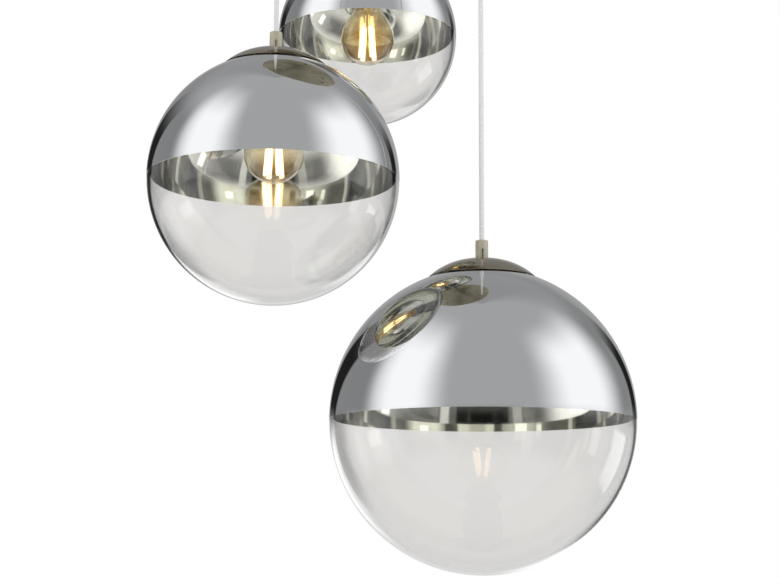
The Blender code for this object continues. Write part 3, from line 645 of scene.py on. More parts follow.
# %% Grub screws
SCREW_RADIUS = 0.0018
SCREW_HEIGHT = 0.0145
screw_ends = [Vector((0, y, SCREW_HEIGHT)) for y in (GRIP_BORE, GRIP_RADIUS)]
screw = rod(SCREW_RADIUS, *screw_ends, 32)
bevel(screw, 0.0003, 2)
coat(screw, CLEAR_PLASTIC)
hang(screw, "grub_screw", HEAD, "WHICH_head", "clear_plastic", "grip_screw")

# %% [markdown]
# ## Bulbs
#
# The bulb is the common pear shape with a globe of 60 mm and a screw base of 27 mm. Its glass is
# thin and clear, so the outline runs down the outside and back up inside. The flare between neck
# and globe is a cubic curve that leaves the neck straight and meets the globe without a kink.

# %% Bulb glass
HOLDER_BOTTOM = -0.0584
BULB_RADIUS = 0.030
GLOBE_CENTRE = -0.1061
BULB_WALL = 0.0006
NECK_RADIUS = 0.0123
NECK_TOP = HOLDER_BOTTOM + 0.017
NECK_END = HOLDER_BOTTOM - 0.0015
SHOULDER_LATITUDE = 30


def bulb_side(inset):
    """The bulb's side from the top of its neck down to its pole, moved inwards by inset."""
    globe = BULB_RADIUS - inset
    latitude = math.radians(SHOULDER_LATITUDE)
    shoulder = (globe * math.cos(latitude), GLOBE_CENTRE + globe * math.sin(latitude))
    rise = NECK_END - shoulder[1]
    near = 0.48 * rise
    before = (shoulder[0] - near * math.sin(latitude), shoulder[1] + near * math.cos(latitude))
    neck = NECK_RADIUS - inset
    flare = curve_between((neck, NECK_END), (neck, NECK_END - 0.36 * rise), before, shoulder, 12)
    globe_points = arc((0, GLOBE_CENTRE), globe, SHOULDER_LATITUDE, -90, 30)[1:-1]
    return [(neck, NECK_TOP), *flare, *globe_points, (0, GLOBE_CENTRE - globe)]


bulb = lathe("bulb", [*reversed(bulb_side(BULB_WALL)), *bulb_side(0)], 96)
coat(bulb, BULB_GLASS)
hang(bulb, "bulb_envelope", HEAD, "WHICH_bulb", "bulb_glass", "bulb_glass")

# %% [markdown]
# ## Light source of the bulb
#
# Four thin lit sticks stand round a glass stem, between an upper and a lower ring of wire. They are
# what shows as bright gold lines in the photograph, so they are bright and round, and the stem and
# the wires are fine. Each stick leans outwards towards its lower end.

# %% Lit sticks
STICK_COUNT = 4
STICK_RADIUS = 0.0026
STICK_START = 30
STICK_LENGTH = 0.038
STICK_BOTTOM = GLOBE_CENTRE - BULB_RADIUS + 0.006
STICK_TOP = STICK_BOTTOM + STICK_LENGTH
TOP_SPREAD = 0.006
BOTTOM_SPREAD = 0.0095

sticks = []
for number in range(STICK_COUNT):
    angle = math.radians(STICK_START + number * 360 / STICK_COUNT)
    way = Vector((math.cos(angle), math.sin(angle), 0))
    foot = way * BOTTOM_SPREAD + Vector((0, 0, STICK_BOTTOM))
    head = way * TOP_SPREAD + Vector((0, 0, STICK_TOP))
    stick = rod(STICK_RADIUS, foot, head, 20)
    bevel(stick, STICK_RADIUS * 0.6, 3)
    sticks.append(stick)
lit = join(sticks, "lit_sticks")
coat(lit, PHOSPHOR)
hang(lit, "lit_sticks", HEAD, "WHICH_bulb", "lit_phosphor", "bulb_filament")

# %% Glass stem and wire rings
STEM_RADIUS = 0.0028
STEM_FOOT = 0.0105
STEM_TOP = NECK_TOP - 0.006
WIRE = 0.00035

stem_outline = [
    (0, STEM_TOP),
    (STEM_FOOT, STEM_TOP),
    (STEM_FOOT * 0.72, STEM_TOP - 0.003),
    (STEM_RADIUS * 1.5, STEM_TOP - 0.008),
    (STEM_RADIUS, STEM_TOP - 0.014),
    (STEM_RADIUS, STICK_TOP + 0.001),
    (STEM_RADIUS * 1.25, STICK_TOP),
    (STEM_RADIUS * 0.8, STICK_TOP - 0.002),
    (0, STICK_TOP - 0.003),
]
stem = lathe("stem", stem_outline, 48)
coat(stem, BULB_GLASS)
hang(stem, "bulb_stem", HEAD, "WHICH_bulb", "bulb_glass")

section = {"minor_radius": WIRE, "major_segments": 48, "minor_segments": 10}
wire_rings = []
for spread, level in ((TOP_SPREAD, STICK_TOP), (BOTTOM_SPREAD, STICK_BOTTOM)):
    place = {"location": (0, 0, level), "major_radius": spread}
    wire_rings.append(primitive(bpy.ops.mesh.primitive_torus_add, **place, **section))
rings = join(wire_rings, "wire_rings")
coat(rings, SPRING)
hang(rings, "wire_rings", HEAD, "WHICH_bulb", "spring_steel")

# %% [markdown]
# ## Screw base and lamp holder
#
# The screw base is a thin shell whose thread is rolled into it, so its outline goes in and out by
# half a millimetre along a cosine. The holder round it is a plain white body with a collar, a
# shoulder and a wider rim. Both are turned.

# %% Screw bases
BASE_RADIUS = 0.0131
THREAD_DEPTH = 0.0006
THREAD_PITCH = 0.00363
THREAD_POINTS = 8
BASE_TOP = -0.0334
BASE_CONE = 0.004
BASE_CONE_RADIUS = 0.006

thread_top = BASE_TOP - BASE_CONE
thread_turns = (thread_top - HOLDER_BOTTOM - 0.0015) / THREAD_PITCH
base_outline = [(0, BASE_TOP), (BASE_CONE_RADIUS, BASE_TOP)]
for i in range(round(thread_turns * THREAD_POINTS) + 1):
    turns = i / THREAD_POINTS
    depth = THREAD_DEPTH * (1 + math.cos(2 * math.pi * turns)) / 2
    base_outline.append((BASE_RADIUS - depth, thread_top - THREAD_PITCH * turns))
base_outline += [
    (BASE_RADIUS, HOLDER_BOTTOM + 0.001),
    (BASE_RADIUS, HOLDER_BOTTOM),
    (BASE_RADIUS - 0.0005, HOLDER_BOTTOM),
    (BASE_RADIUS - 0.0007, thread_top - 0.002),
    (0, thread_top - 0.002),
]
base = lathe("base", base_outline, 64)
coat(base, BULB_METAL)
hang(base, "screw_base", HEAD, "WHICH_bulb", "bulb_metal", "bulb_base")

# %% Bulb tips
TIP_RADIUS = 0.0045
TIP_EDGE = 0.001
TIP_TOP = -0.0311
TIP_BOTTOM = -0.0331
tip_corner = arc((TIP_RADIUS - TIP_EDGE, TIP_TOP - TIP_EDGE), TIP_EDGE, 90, 0, 4)
tip = lathe("tip", [(0, TIP_TOP), *tip_corner, (TIP_RADIUS, TIP_BOTTOM), (0, TIP_BOTTOM)], 32)
coat(tip, BRASS)
hang(tip, "contact_tip", HEAD, "WHICH_bulb_tip", "contact_brass", "bulb_tip")

# %% Lamp holders
HOLDER_TOP = -0.0024
HOLDER_RADIUS = 0.0195
HOLDER_RIM = 0.0205
GROOVE_DEPTH = 0.0006
COLLAR_RADIUS = 0.009
COLLAR_BOTTOM = HOLDER_TOP - 0.0065
SHOULDER_BOTTOM = COLLAR_BOTTOM - 0.007
SOCKET_RADIUS = 0.0139
SOCKET_TOP = HOLDER_TOP - 0.0095
RIM_TOP = HOLDER_BOTTOM + 0.007

holder_outline = [
    (CORD_HOLE, HOLDER_TOP),
    (COLLAR_RADIUS, HOLDER_TOP),
    (COLLAR_RADIUS, COLLAR_BOTTOM),
    (HOLDER_RADIUS, SHOULDER_BOTTOM),
    (HOLDER_RADIUS, RIM_TOP + 0.0016),
    (HOLDER_RADIUS - GROOVE_DEPTH, RIM_TOP + 0.001),
    (HOLDER_RADIUS - GROOVE_DEPTH, RIM_TOP + 0.0004),
    (HOLDER_RIM, RIM_TOP),
    (HOLDER_RIM, HOLDER_BOTTOM),
    (SOCKET_RADIUS, HOLDER_BOTTOM),
    (SOCKET_RADIUS, SOCKET_TOP),
    (CORD_HOLE, SOCKET_TOP),
]
holder = lathe("holder", [*holder_outline, holder_outline[0]], 96)
bevel(holder, 0.0005, 3)
coat(holder, HOLDER)
hang(holder, "holder_body", HEAD, "WHICH_head", "holder_plastic", "lamp_holder")

# %% Contact blocks
BLOCK_TOP = -0.0159
BLOCK_BOTTOM = -0.0308
BLOCK_RADIUS = 0.0136
block_outline = [(0, BLOCK_TOP), (BLOCK_RADIUS, BLOCK_TOP), (BLOCK_RADIUS, BLOCK_BOTTOM), (0, BLOCK_BOTTOM)]
block = lathe("block", block_outline, 64)
bevel(block, 0.0006, 3)
coat(block, CERAMIC)
hang(block, "ceramic_block", HEAD, "WHICH_head", "ceramic", "contact_block")

# %% [markdown]
# ## Spring carriers
#
# A washer on the holder's collar carries three leaf springs, which hold the ball by the edge of its
# opening. A leaf is a small plane whose far edge is extruded from bend to bend, then thickened and
# rounded. It is modelled once for each ball, because the glass edge lies at another height.

# %% Spring carriers
CARRIER_TOP = -0.0013
CARRIER_THICKNESS = 0.0008
CARRIER_RADIUS = 0.009
LEAF_START = 0.0075
LEAF_WIDTH = 0.008
LEAF_THICKNESS = 0.0005
LEAF_COUNT = 3
LEAF_BULGE = 0.0359


def edit_parts(kind, parts, wanted):
    """Opens the active piece for editing, with only those parts selected that wanted accepts."""
    bpy.ops.object.mode_set(mode="EDIT")
    bpy.ops.mesh.select_mode(type=kind)
    bpy.ops.mesh.select_all(action="DESELECT")
    bpy.ops.object.mode_set(mode="OBJECT")
    for part in parts:
        part.select = wanted(part)
    bpy.ops.object.mode_set(mode="EDIT")


def glass_edge(size, inset):
    """Height of the ball's opening below the cap's top, on a sphere that is smaller by inset."""
    sphere = RADIUS[size] - inset
    return CENTRE[size].z - HEAD[size].z + math.sqrt(sphere**2 - OPENING_RADIUS**2)


def leaf_path(size):
    """Radius and height of a leaf's bends, from the washer out to the glass edge and under it."""
    top = CARRIER_TOP - CARRIER_THICKNESS / 2
    knee = (LEAF_BULGE - 0.004, glass_edge(size, FILM_THICKNESS))
    hook = (LEAF_BULGE, glass_edge(size, FILM_THICKNESS + FILM_GAP + GLASS_WALL) - 0.0012)
    bend = (LEAF_START + (knee[0] - LEAF_START) * 0.55, top + (knee[1] - top) * 0.3)
    return [(LEAF_START, top), bend, knee, hook, (LEAF_BULGE - 0.005, hook[1] - 0.008)]


def model_leaf(path):
    """A strip along a path of (radius, height), lying in the plane of X and Z."""
    (start, height), (reach, drop) = path[0], path[1]
    leaf = primitive(bpy.ops.mesh.primitive_plane_add, size=1)
    points = leaf.data.vertices
    for point in points:
        end = (reach, drop) if point.co.x > 0 else (start, height)
        point.co = (end[0], point.co.y * LEAF_WIDTH, end[1])
    middle = (start + reach) / 2
    edit_parts("EDGE", leaf.data.edges, lambda edge: all(points[i].co.x > middle for i in edge.vertices))
    for before, after in zip(path[1:], path[2:]):
        step = {"value": (after[0] - before[0], 0, after[1] - before[1])}
        bpy.ops.mesh.extrude_edges_move(TRANSFORM_OT_translate=step)
    bpy.ops.object.mode_set(mode="OBJECT")
    bevel(leaf, 0.0025, 5, math.radians(12))
    wall = leaf.modifiers.new("Wall", "SOLIDIFY")
    wall.thickness = LEAF_THICKNESS
    wall.offset = 0
    settle(leaf)
    return leaf


for size in SIZES:
    carrier_bottom = CARRIER_TOP - CARRIER_THICKNESS
    parts = [flat_ring("washer", CORD_HOLE, CARRIER_RADIUS, CARRIER_TOP, carrier_bottom)]
    for number in range(LEAF_COUNT):
        leaf = model_leaf(leaf_path(size))
        leaf.rotation_euler.z = math.radians(-90 + number * 360 / LEAF_COUNT)
        settle(leaf)
        parts.append(leaf)
    carrier = join(parts, f"{size}_leaf_springs")
    carrier.location = HEAD[size]
    settle(carrier)
    bevel(carrier, 0.00012, 2)
    coat(carrier, SPRING)
    finish_piece(carrier, f"{size}_head", [f"{size}_spring_carrier"])
    print(carrier.name, len(carrier.data.polygons), "faces")

# %% [markdown]
# ## Canopy
#
# The canopy is a shallow pan of turned steel with a satin nickel plate. Its outline runs down the
# outside, round a soft corner and across the bottom, then back inside. Five holes are cut where
# grips and studs pass.

# %% Canopy
canopy_low, canopy_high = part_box("canopy")
CANOPY_RADIUS = canopy_high.x
CANOPY_TOP = canopy_high.z
CANOPY_BOTTOM = canopy_low.z
CANOPY_WALL = 0.0012
CANOPY_EDGE = 0.006
STUD_X = 0.090
STUD_HOLE = 0.0023

corner = (CANOPY_RADIUS - CANOPY_EDGE, CANOPY_BOTTOM + CANOPY_EDGE)
pan_outline = [
    (0, CANOPY_BOTTOM + CANOPY_WALL),
    *arc(corner, CANOPY_EDGE - CANOPY_WALL, -90, 0, 10),
    (CANOPY_RADIUS - CANOPY_WALL, CANOPY_TOP),
    (CANOPY_RADIUS, CANOPY_TOP),
    *arc(corner, CANOPY_EDGE, 0, -90, 10),
    (CANOPY_RADIUS * 0.5, CANOPY_BOTTOM),
    (0, CANOPY_BOTTOM),
]
pan = lathe("nickel_canopy", pan_outline, 160)
holes = [(HEAD[size].x, HEAD[size].y, CORD_HOLE) for size in SIZES]
holes += [(side * STUD_X, 0, STUD_HOLE) for side in (-1, 1)]
for x, y, radius in holes:
    cut(pan, post(radius, CANOPY_BOTTOM - 0.005, CANOPY_BOTTOM + 0.005, x, y, vertices=32))
coat(pan, NICKEL)
finish_piece(pan, "canopy", ["canopy"])
print("canopy", len(pan.data.polygons), "faces")

# %% [markdown]
# ## Grips, nuts and bushes at the canopy
#
# Each cord hangs from a nickel grip that is screwed through the canopy and held by a hex nut. The
# grip's mouth is a round seat for the nylon bush, so the cord can swing. All three are modelled at
# the bush's centre, which is the point that a pendant swings about.

# %% Canopy grips
PIVOT_DROP = 0.0163
PIVOT = {size: Vector((HEAD[size].x, HEAD[size].y, CANOPY_BOTTOM - PIVOT_DROP)) for size in SIZES}
BUSH_RADIUS = 0.004
PLAY = 0.0003
SEAT = BUSH_RADIUS + PLAY
THREAD_RADIUS = 0.005
GRIP_BODY = 0.0065
GRIP_SHOULDER = 0.016
CANOPY_FLOOR = CANOPY_BOTTOM + CANOPY_WALL
THREAD_ABOVE_FLOOR = 0.005
THREAD_TOP = CANOPY_FLOOR + THREAD_ABOVE_FLOOR + PIVOT_DROP - CANOPY_BOTTOM
FINE_PITCH = 0.001
FINE_DEPTH = 0.00045


def fine_thread(radius, low, high, pitch=FINE_PITCH, depth=FINE_DEPTH):
    """Outline of a thread's ridges, from low up to high, as rings of (radius, height)."""
    count = int((high - low) / pitch)
    rings = []
    for number in range(count):
        rings += [(radius - depth, low + number * pitch), (radius, low + (number + 0.5) * pitch)]
    return [*rings, (radius - depth, low + count * pitch), (radius - depth, high)]


canopy_grip_outline = [
    (GRIP_BORE, THREAD_TOP),
    *reversed(fine_thread(THREAD_RADIUS, GRIP_SHOULDER + PLAY, THREAD_TOP)),
    (THREAD_RADIUS - FINE_DEPTH, GRIP_SHOULDER),
    (GRIP_BODY - 0.0004, GRIP_SHOULDER),
    (GRIP_BODY, GRIP_SHOULDER - 0.0004),
    (GRIP_BODY, 0.0046),
    (GRIP_BODY - 0.0005, 0.0042),
    (GRIP_BODY - 0.0005, 0.0034),
    (GRIP_BODY, 0.0030),
    (GRIP_BODY, 0.0006),
    (GRIP_BODY - 0.0006, 0),
    *arc((0, 0), SEAT, 0, math.degrees(math.acos(GRIP_BORE / SEAT)), 8),
]
canopy_grip = lathe("canopy_grip", [*canopy_grip_outline, canopy_grip_outline[0]], 64)
coat(canopy_grip, NICKEL)
hang(canopy_grip, "nickel_grip", PIVOT, "canopy", "satin_nickel", "canopy_grip")

# %% Grip nuts
NUT_LOW = CANOPY_FLOOR + PLAY + PIVOT_DROP - CANOPY_BOTTOM
NUT_HEIGHT = 0.003
NUT_CORNER = 0.014 / math.sqrt(3)
nut = post(NUT_CORNER, NUT_LOW, NUT_LOW + NUT_HEIGHT, vertices=6)
bevel(nut, 0.0004, 2)
cut(nut, post(THREAD_RADIUS + PLAY, NUT_LOW - 0.01, NUT_LOW + 0.01, vertices=48))
coat(nut, ZINC)
hang(nut, "hex_nut", PIVOT, "canopy", "zinc_steel", "grip_nut")

# %% Cord bushes
BUSH_FLAT = 0.0027
BUSH_TOP = BUSH_RADIUS * 0.72
bush_outline = [(0, BUSH_TOP), (BUSH_FLAT, BUSH_TOP), *arc((0, 0), BUSH_RADIUS, 42, -42, 16)]
bush = lathe("bush", [*bush_outline, (BUSH_FLAT, -BUSH_TOP), (0, -BUSH_TOP)], 48)
coat(bush, NYLON)
hang(bush, "nylon_bush", PIVOT, "WHICH_bush", "white_nylon", "cord_bush")

# %% [markdown]
# ## Fittings at the ceiling
#
# A zinc-plated bar is screwed to the ceiling through two slots. Two studs hang from it, pass the
# canopy and take a washer and a knurled cap nut each. Inside the canopy a terminal block joins the
# cords' ends to the house's wires. None of this is in the photograph, so it takes usual forms.

# %% Ceiling bar
bar_low, bar_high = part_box("ceiling_bracket")
SLOT_X = 0.050
SLOT_WIDTH = 0.0055
SLOT_LENGTH = 0.018
THROUGH = 0.01

bar = box_between(bar_low, bar_high)
bar.name = "ceiling_bar"
for side in (-1, 1):
    x = side * SLOT_X
    left, right = x - (SLOT_LENGTH - SLOT_WIDTH) / 2, x + (SLOT_LENGTH - SLOT_WIDTH) / 2
    cut(bar, box_between((left, -SLOT_WIDTH / 2, -THROUGH), (right, SLOT_WIDTH / 2, THROUGH)))
    for end in (left, right):
        cut(bar, post(SLOT_WIDTH / 2, -THROUGH, THROUGH, end))
    cut(bar, post(STUD_HOLE, -THROUGH, THROUGH, side * STUD_X))
bevel(bar, 0.0004, 2)
coat(bar, ZINC)
finish_piece(bar, "ceiling_mount", ["ceiling_bracket"])
print("bar", len(bar.data.polygons), "faces")

# %% Studs, washers and cap nuts
STUD_RADIUS = 0.002
STUD_PLACES = {"left": (-STUD_X, 0, 0), "right": (STUD_X, 0, 0)}
WASHER_RADIUS = 0.006
CAP_NUT_RADIUS = 0.007
CAP_NUT_EDGE = 0.0015
KNURL_SEGMENTS = 44
KNURL_RINGS = 6
KNURL_HEIGHT = 0.00025
stud_low, stud_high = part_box("left_stud")
washer_low, washer_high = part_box("left_washer")
nut_low, nut_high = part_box("left_cap_nut")


def model_stud():
    rings = fine_thread(STUD_RADIUS, stud_low.z + 0.0004, stud_high.z - 0.0004, 0.0014, 0.0003)
    return lathe("stud", [(0, stud_low.z), *rings, (0, stud_high.z)], 32)


def model_washer():
    washer = flat_ring("washer", STUD_HOLE, WASHER_RADIUS, washer_high.z, washer_low.z)
    bevel(washer, 0.00015, 2)
    return washer


def model_cap_nut():
    """A turned nut whose side gets a knurl: each face of the side is inset and raised a little."""
    side_top, side_bottom = nut_high.z - CAP_NUT_EDGE, nut_low.z + CAP_NUT_EDGE
    side = [
        (CAP_NUT_RADIUS - 0.0003, side_top + (side_bottom - side_top) * i / KNURL_RINGS)
        for i in range(KNURL_RINGS + 1)
    ]
    face_radius = CAP_NUT_RADIUS - CAP_NUT_EDGE
    bore_top = stud_low.z - 0.0015
    outline = [(0, bore_top), (STUD_HOLE, bore_top), (STUD_HOLE, nut_high.z), (face_radius, nut_high.z)]
    outline += [*side, (face_radius, nut_low.z), (0, nut_low.z)]
    piece = lathe("cap_nut", outline, KNURL_SEGMENTS)
    faces = piece.data.polygons
    edit_parts("FACE", faces, lambda f: abs(f.normal.z) < 0.1 and f.center.xy.length > face_radius)
    bpy.ops.mesh.inset(thickness=0.00018, depth=KNURL_HEIGHT, use_individual=True)
    bpy.ops.object.mode_set(mode="OBJECT")
    return piece


FASTENERS = (
    ("stud", model_stud, ZINC, "zinc_steel", "ceiling_mount"),
    ("washer", model_washer, NICKEL, "satin_nickel", "WHICH_washer"),
    ("cap_nut", model_cap_nut, NICKEL, "satin_nickel", "WHICH_cap_nut"),
)
for stem, model_it, made, slot, body in FASTENERS:
    model = model_it()
    coat(model, made)
    hang(model, f"{stem}_fine", STUD_PLACES, body, slot, stem)

# %% Terminal block
block_low, block_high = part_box("terminal_block")
ENTRY_DEPTH = 0.006
ENTRY_Z = (block_low.z + block_high.z) / 2
TOWER_RADIUS = 0.0036
TOWER_HEIGHT = 0.0022
TOWER_PLACES = (-0.013, 0, 0.013)
ENTRIES = {
    "large": Vector((block_high.x, 0, ENTRY_Z)),
    "medium": Vector((block_low.x, 0, ENTRY_Z)),
    "small": Vector((0, block_high.y, ENTRY_Z)),
}
WAY_OUT = {"large": Vector((1, 0, 0)), "medium": Vector((-1, 0, 0)), "small": Vector((0, 1, 0))}

tower_foot = block_high.z - TOWER_HEIGHT
block = box_between(block_low, (block_high.x, block_high.y, tower_foot))
bevel(block, 0.0008, 3)
for size in SIZES:
    point, way = ENTRIES[size], WAY_OUT[size]
    cut(block, rod(GRIP_BORE, point - way * ENTRY_DEPTH, point + way * 0.002))

well = TOWER_RADIUS - 0.0009
tower_outline = [
    (0, tower_foot + 0.0006),
    (well, tower_foot + 0.0006),
    (well, block_high.z),
    (TOWER_RADIUS - 0.0003, block_high.z),
    (TOWER_RADIUS, block_high.z - 0.0003),
    (TOWER_RADIUS, tower_foot - 0.0004),
    (0, tower_foot - 0.0004),
]
towers = []
for x in TOWER_PLACES:
    tower = lathe("tower", tower_outline, 40)
    tower.location.x = x
    settle(tower)
    towers.append(tower)
block = join([block, *towers], "nylon_terminal_block")
coat(block, NYLON)
finish_piece(block, "canopy", ["terminal_block"])
print("terminal block", len(block.data.polygons), "faces")

# %% Screws of the terminal block
screws = []
for x in TOWER_PLACES:
    screw = post(TOWER_RADIUS - 0.0011, tower_foot + 0.0003, block_high.z - 0.0006, x)
    bevel(screw, 0.0002, 2)
    slot_low = (x - 0.002, -0.0003, block_high.z - 0.0011)
    cut(screw, box_between(slot_low, (x + 0.002, 0.0003, block_high.z)))
    screws.append(screw)
terminal_screws = join(screws, "terminal_screws")
coat(terminal_screws, ZINC)
finish_piece(terminal_screws, "canopy", [])
print("terminal screws", len(terminal_screws.data.polygons), "faces")

# %% Cord tails inside the canopy
TAIL_RISE = 0.026
TAIL_LEAD = 0.040
TAIL_IN_BLOCK = 0.005
TAIL_STEPS = 24

for size in SIZES:
    x, y = HEAD[size].x, HEAD[size].y
    start = Vector((x, y, PIVOT[size].z + BUSH_RADIUS + PLAY))
    leave = Vector((x, y, CANOPY_FLOOR + THREAD_ABOVE_FLOOR))
    point, way = ENTRIES[size], WAY_OUT[size]
    handles = (leave, leave + Vector((0, 0, TAIL_RISE)), point + way * TAIL_LEAD, point)
    places = [start, *curve_between(*handles, TAIL_STEPS), point - way * TAIL_IN_BLOCK]
    lay_cable(f"{size}_clear_tail", places, "canopy", f"{size}_cord_tail")
print("three tails inside the canopy")

# %% [markdown]
# ## Studio
#
# Chrome and glass show mostly what stands round them, so the studio is part of the look. The sky
# holds what a photographer puts up: a grey screen, a broad soft light on either side, and black
# flags behind these. A low round wall stands for the table's side, with smaller lights, three small
# windows and its dark front. Only reflections see these: rays that just pass through glass see a
# plain pale backdrop. Painting lights on sky and wall by angle is lighter work than placing many
# planes, and their soft edges cost nothing.

# %% Studio panels
FLOOR_Z = -1.62
WALL_RADIUS = 1.5
WALL_TOP = -0.45
SCREEN_GREY = 0.58
BACKDROP = 0.765
TABLE_GREY = 0.16
SWEEP_GREY = 0.70
TABLE_EDGE = (-0.78, -0.50)
CAMERA_SIDE = math.atan2(CAMERA_PLACE.x, -CAMERA_PLACE.y)

# Name and brightness, then degrees to the right of the camera as seen from the lamp: middle, half
# width and soft edge. A panel that isn't full height adds its top, bottom and their softness, in
# degrees for the sky and in metres for the wall, and a leaning one its lean for each degree upwards.
LOWEST = -200
HIGH_PANELS = (
    ("ceiling behind", 0.43, 180, 30, 50),
    ("side walls", 0.34, 180, 80, 12, 42, LOWEST, 9),
    ("back", 0.45, 172, 20, 8, 36, LOWEST, 8),
    ("left soft light", 1.55, -66, 9, 31, 57, LOWEST, 18),
    ("right soft light", 1.55, 80, 12, 36, 50, LOWEST, 14),
    ("left flag", 0.02, -161, 9, 4, 32, LOWEST, 11, 0.8),
    ("right flag", 0.02, 152, 5, 4, 25, LOWEST, 8, -0.4),
)
LOW_PANELS = (
    ("left low light", 1.30, -90, 16, 26),
    ("right low light", 0.80, 112, 10, 40),
    ("low back", 1.10, 180, 30, 6),
    ("straight back", 0.72, 180, 9, 8),
    ("left low flag", 0.08, -132, 4, 5),
    ("right low flag", 0.12, 147, 4, 5),
    ("dark table front", 0.01, 0, 20, 3),
    ("left strip", 0.45, -29, 3, 2),
    ("right strip", 0.75, 31, 2.5, 2),
    ("right window", 1.9, 111, 8, 2, -0.76, -1.35, 0.03),
    ("right slit", 1.6, 83, 3, 2, -0.80, -1.15, 0.03),
    ("left window", 2.2, -87, 6, 2, -0.86, -1.10, 0.03),
)
print("panels:", len(HIGH_PANELS) + len(LOW_PANELS))

# %% Light panels
PLACE_INPUTS = {"Angle": 0.0, "Height": 0.0}
PANEL_INPUTS = {"Centre": 0.0, "Half Width": 0.0, "Edge": 0.0}
PANEL_INPUTS |= {"Top": -LOWEST, "Bottom": LOWEST, "Fade": 1.0, "Lean": 0.0}


def ease(tree, value, start, end):
    """0 below start, 1 above end, soft between. All three are numbers or outputs."""
    inputs = {"Value": value, "From Min": start, "From Max": end}
    node = add_node(tree, "ShaderNodeMapRange", inputs, interpolation_type="SMOOTHSTEP")
    return node.outputs["Result"]


def light_panel_group():
    """A mask of one panel: 1 inside its angles and levels, fading over its edges."""
    inputs = {**PLACE_INPUTS, **PANEL_INPUTS}
    group, start, end = new_group("light_panel", inputs.items(), "Mask")
    angle, height, centre, half_width, edge, top, bottom, fade, lean = start.outputs[: len(inputs)]
    offset = math_node(group, "SUBTRACT", angle, math_node(group, "MULTIPLY_ADD", height, lean, centre))
    distance = math_node(group, "ABSOLUTE", math_node(group, "WRAP", offset, 180, -180))
    outside = ease(group, distance, half_width, math_node(group, "ADD", half_width, edge))
    above, over = (
        ease(group, height, math_node(group, "SUBTRACT", level, fade), math_node(group, "ADD", level, fade))
        for level in (bottom, top)
    )
    inside = math_node(group, "MULTIPLY", math_node(group, "SUBTRACT", 1, outside), above)
    inside = math_node(group, "MULTIPLY", inside, math_node(group, "SUBTRACT", 1, over))
    group.links.new(inside, end.inputs["Mask"])
    return group


PANEL = light_panel_group()
print("a panel has", len(PANEL_INPUTS), "values of its own")

# %% Panels on sky and wall


def put_up(tree, panels, tone, angle, height):
    """Lays the panels over a plain grey, one after the other."""
    for name, brightness, *values in panels:
        inputs = {"Angle": angle, "Height": height, **dict(zip(PANEL_INPUTS, values))}
        panel = add_node(tree, "ShaderNodeGroup", inputs, node_tree=PANEL, label=name)
        tone = mix_colours(tree, panel.outputs["Mask"], tone, brightness)
    return tone


def turned_place(tree, source):
    """The angle to the right of the camera, and the level, of a point or a direction."""
    place = add_node(tree, "ShaderNodeTexCoord").outputs[source]
    inputs = {"Vector": place, "Rotation": (0, 0, -CAMERA_SIDE)}
    turn = add_node(tree, "ShaderNodeMapping", inputs, vector_type="POINT")
    parts = add_node(tree, "ShaderNodeSeparateXYZ", {"Vector": turn.outputs["Vector"]}).outputs
    back = math_node(tree, "MULTIPLY", parts["Y"], -1)
    angle = math_node(tree, "DEGREES", math_node(tree, "ARCTAN2", parts["X"], back))
    return angle, parts["Z"]


def reflected(tree):
    """1 for a ray that some surface has reflected on its way, 0 for one that only passed glass."""
    path = add_node(tree, "ShaderNodeLightPath")
    return math_node(tree, "GREATER_THAN", path.outputs["Glossy Depth"], 0.5), path


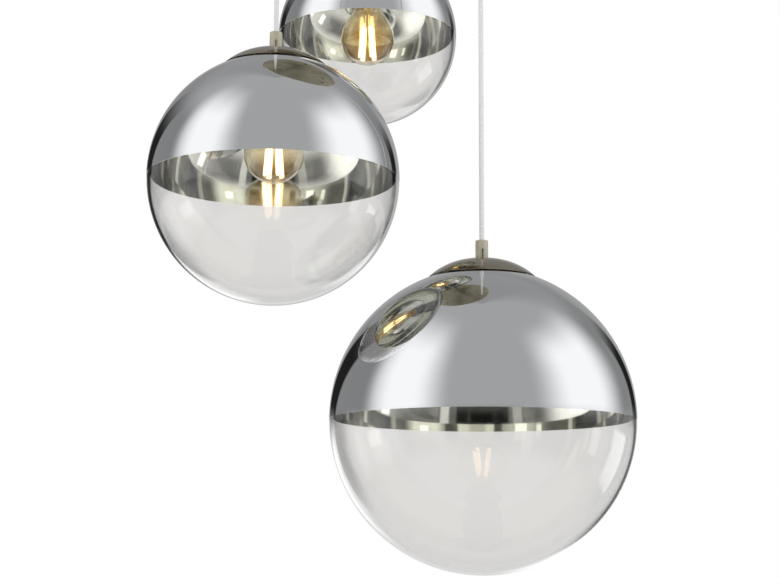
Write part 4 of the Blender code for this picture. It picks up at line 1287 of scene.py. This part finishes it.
# %% Low wall
wall_light = bpy.data.materials.new("low_wall")
wall_light.use_nodes = True
wall_light.cycles.emission_sampling = "NONE"
tree = wall_light.node_tree
tree.nodes.clear()
angle, height = turned_place(tree, "Object")
tones = put_up(tree, LOW_PANELS, TABLE_GREY, angle, height)
tones = mix_colours(tree, ease(tree, height, FLOOR_Z, FLOOR_Z + 0.5), SWEEP_GREY, tones)
was_reflected, _ = reflected(tree)
seen = mix_colours(tree, was_reflected, BACKDROP, tones)
shine = add_node(tree, "ShaderNodeEmission", {"Color": seen}).outputs["Emission"]
nothing = add_node(tree, "ShaderNodeBsdfTransparent").outputs["BSDF"]
inputs = {"Fac": ease(tree, height, *TABLE_EDGE), 1: shine, 2: nothing}
fading = add_node(tree, "ShaderNodeMixShader", inputs)
add_node(tree, "ShaderNodeOutputMaterial", {"Surface": fading.outputs["Shader"]})

wall = post(WALL_RADIUS, FLOOR_Z, WALL_TOP, vertices=128, end_fill_type="NOTHING")
wall.name = "low_wall"
coat(wall, wall_light)
wall.visible_camera = False
wall.visible_diffuse = False
wall.visible_shadow = False
wall.visible_volume_scatter = False
print("low wall", round(WALL_TOP - FLOOR_Z, 2), "m high")

# %% Floor, sky and soft light
PLAIN_LEVEL = 0.9
floor_paint = finish("floor_paint", (0.86, 0.86, 0.86), 0.0, 1.5, 0.5, 0.7)
vary_colour(floor_paint, CLOUDS, 1.2, (0.85, 0.85, 0.85), (0.87, 0.87, 0.87))
floor = primitive(bpy.ops.mesh.primitive_plane_add, size=40, location=(0, 0, FLOOR_Z))
floor.name = "floor"
coat(floor, floor_paint)

world = bpy.data.worlds.new("studio")
bpy.context.scene.world = world
world.use_nodes = True
tree = world.node_tree
tree.nodes.clear()
angle, rise = turned_place(tree, "Generated")
height = math_node(tree, "DEGREES", math_node(tree, "ARCSINE", rise))
tones = put_up(tree, HIGH_PANELS, SCREEN_GREY, angle, height)
was_reflected, path = reflected(tree)
bounced = math_node(tree, "MAXIMUM", path.outputs["Is Glossy Ray"], path.outputs["Is Transmission Ray"])
bounced = math_node(tree, "MULTIPLY", bounced, was_reflected)
sky = mix_colours(tree, path.outputs["Is Transmission Ray"], PLAIN_LEVEL, BACKDROP)
sky = mix_colours(tree, bounced, sky, tones)
sky = mix_colours(tree, path.outputs["Is Camera Ray"], sky, 1.0)
shine = add_node(tree, "ShaderNodeBackground", {"Color": sky})
add_node(tree, "ShaderNodeOutputWorld", {"Surface": shine.outputs["Background"]})
print("world and floor ready")

# %% Render settings for glass
cycles = bpy.context.scene.cycles
cycles.max_bounces = 24
cycles.glossy_bounces = 12
cycles.transmission_bounces = 16
cycles.transparent_max_bounces = 16
bpy.context.scene.view_settings.view_transform = "Standard"
print("bounces set")
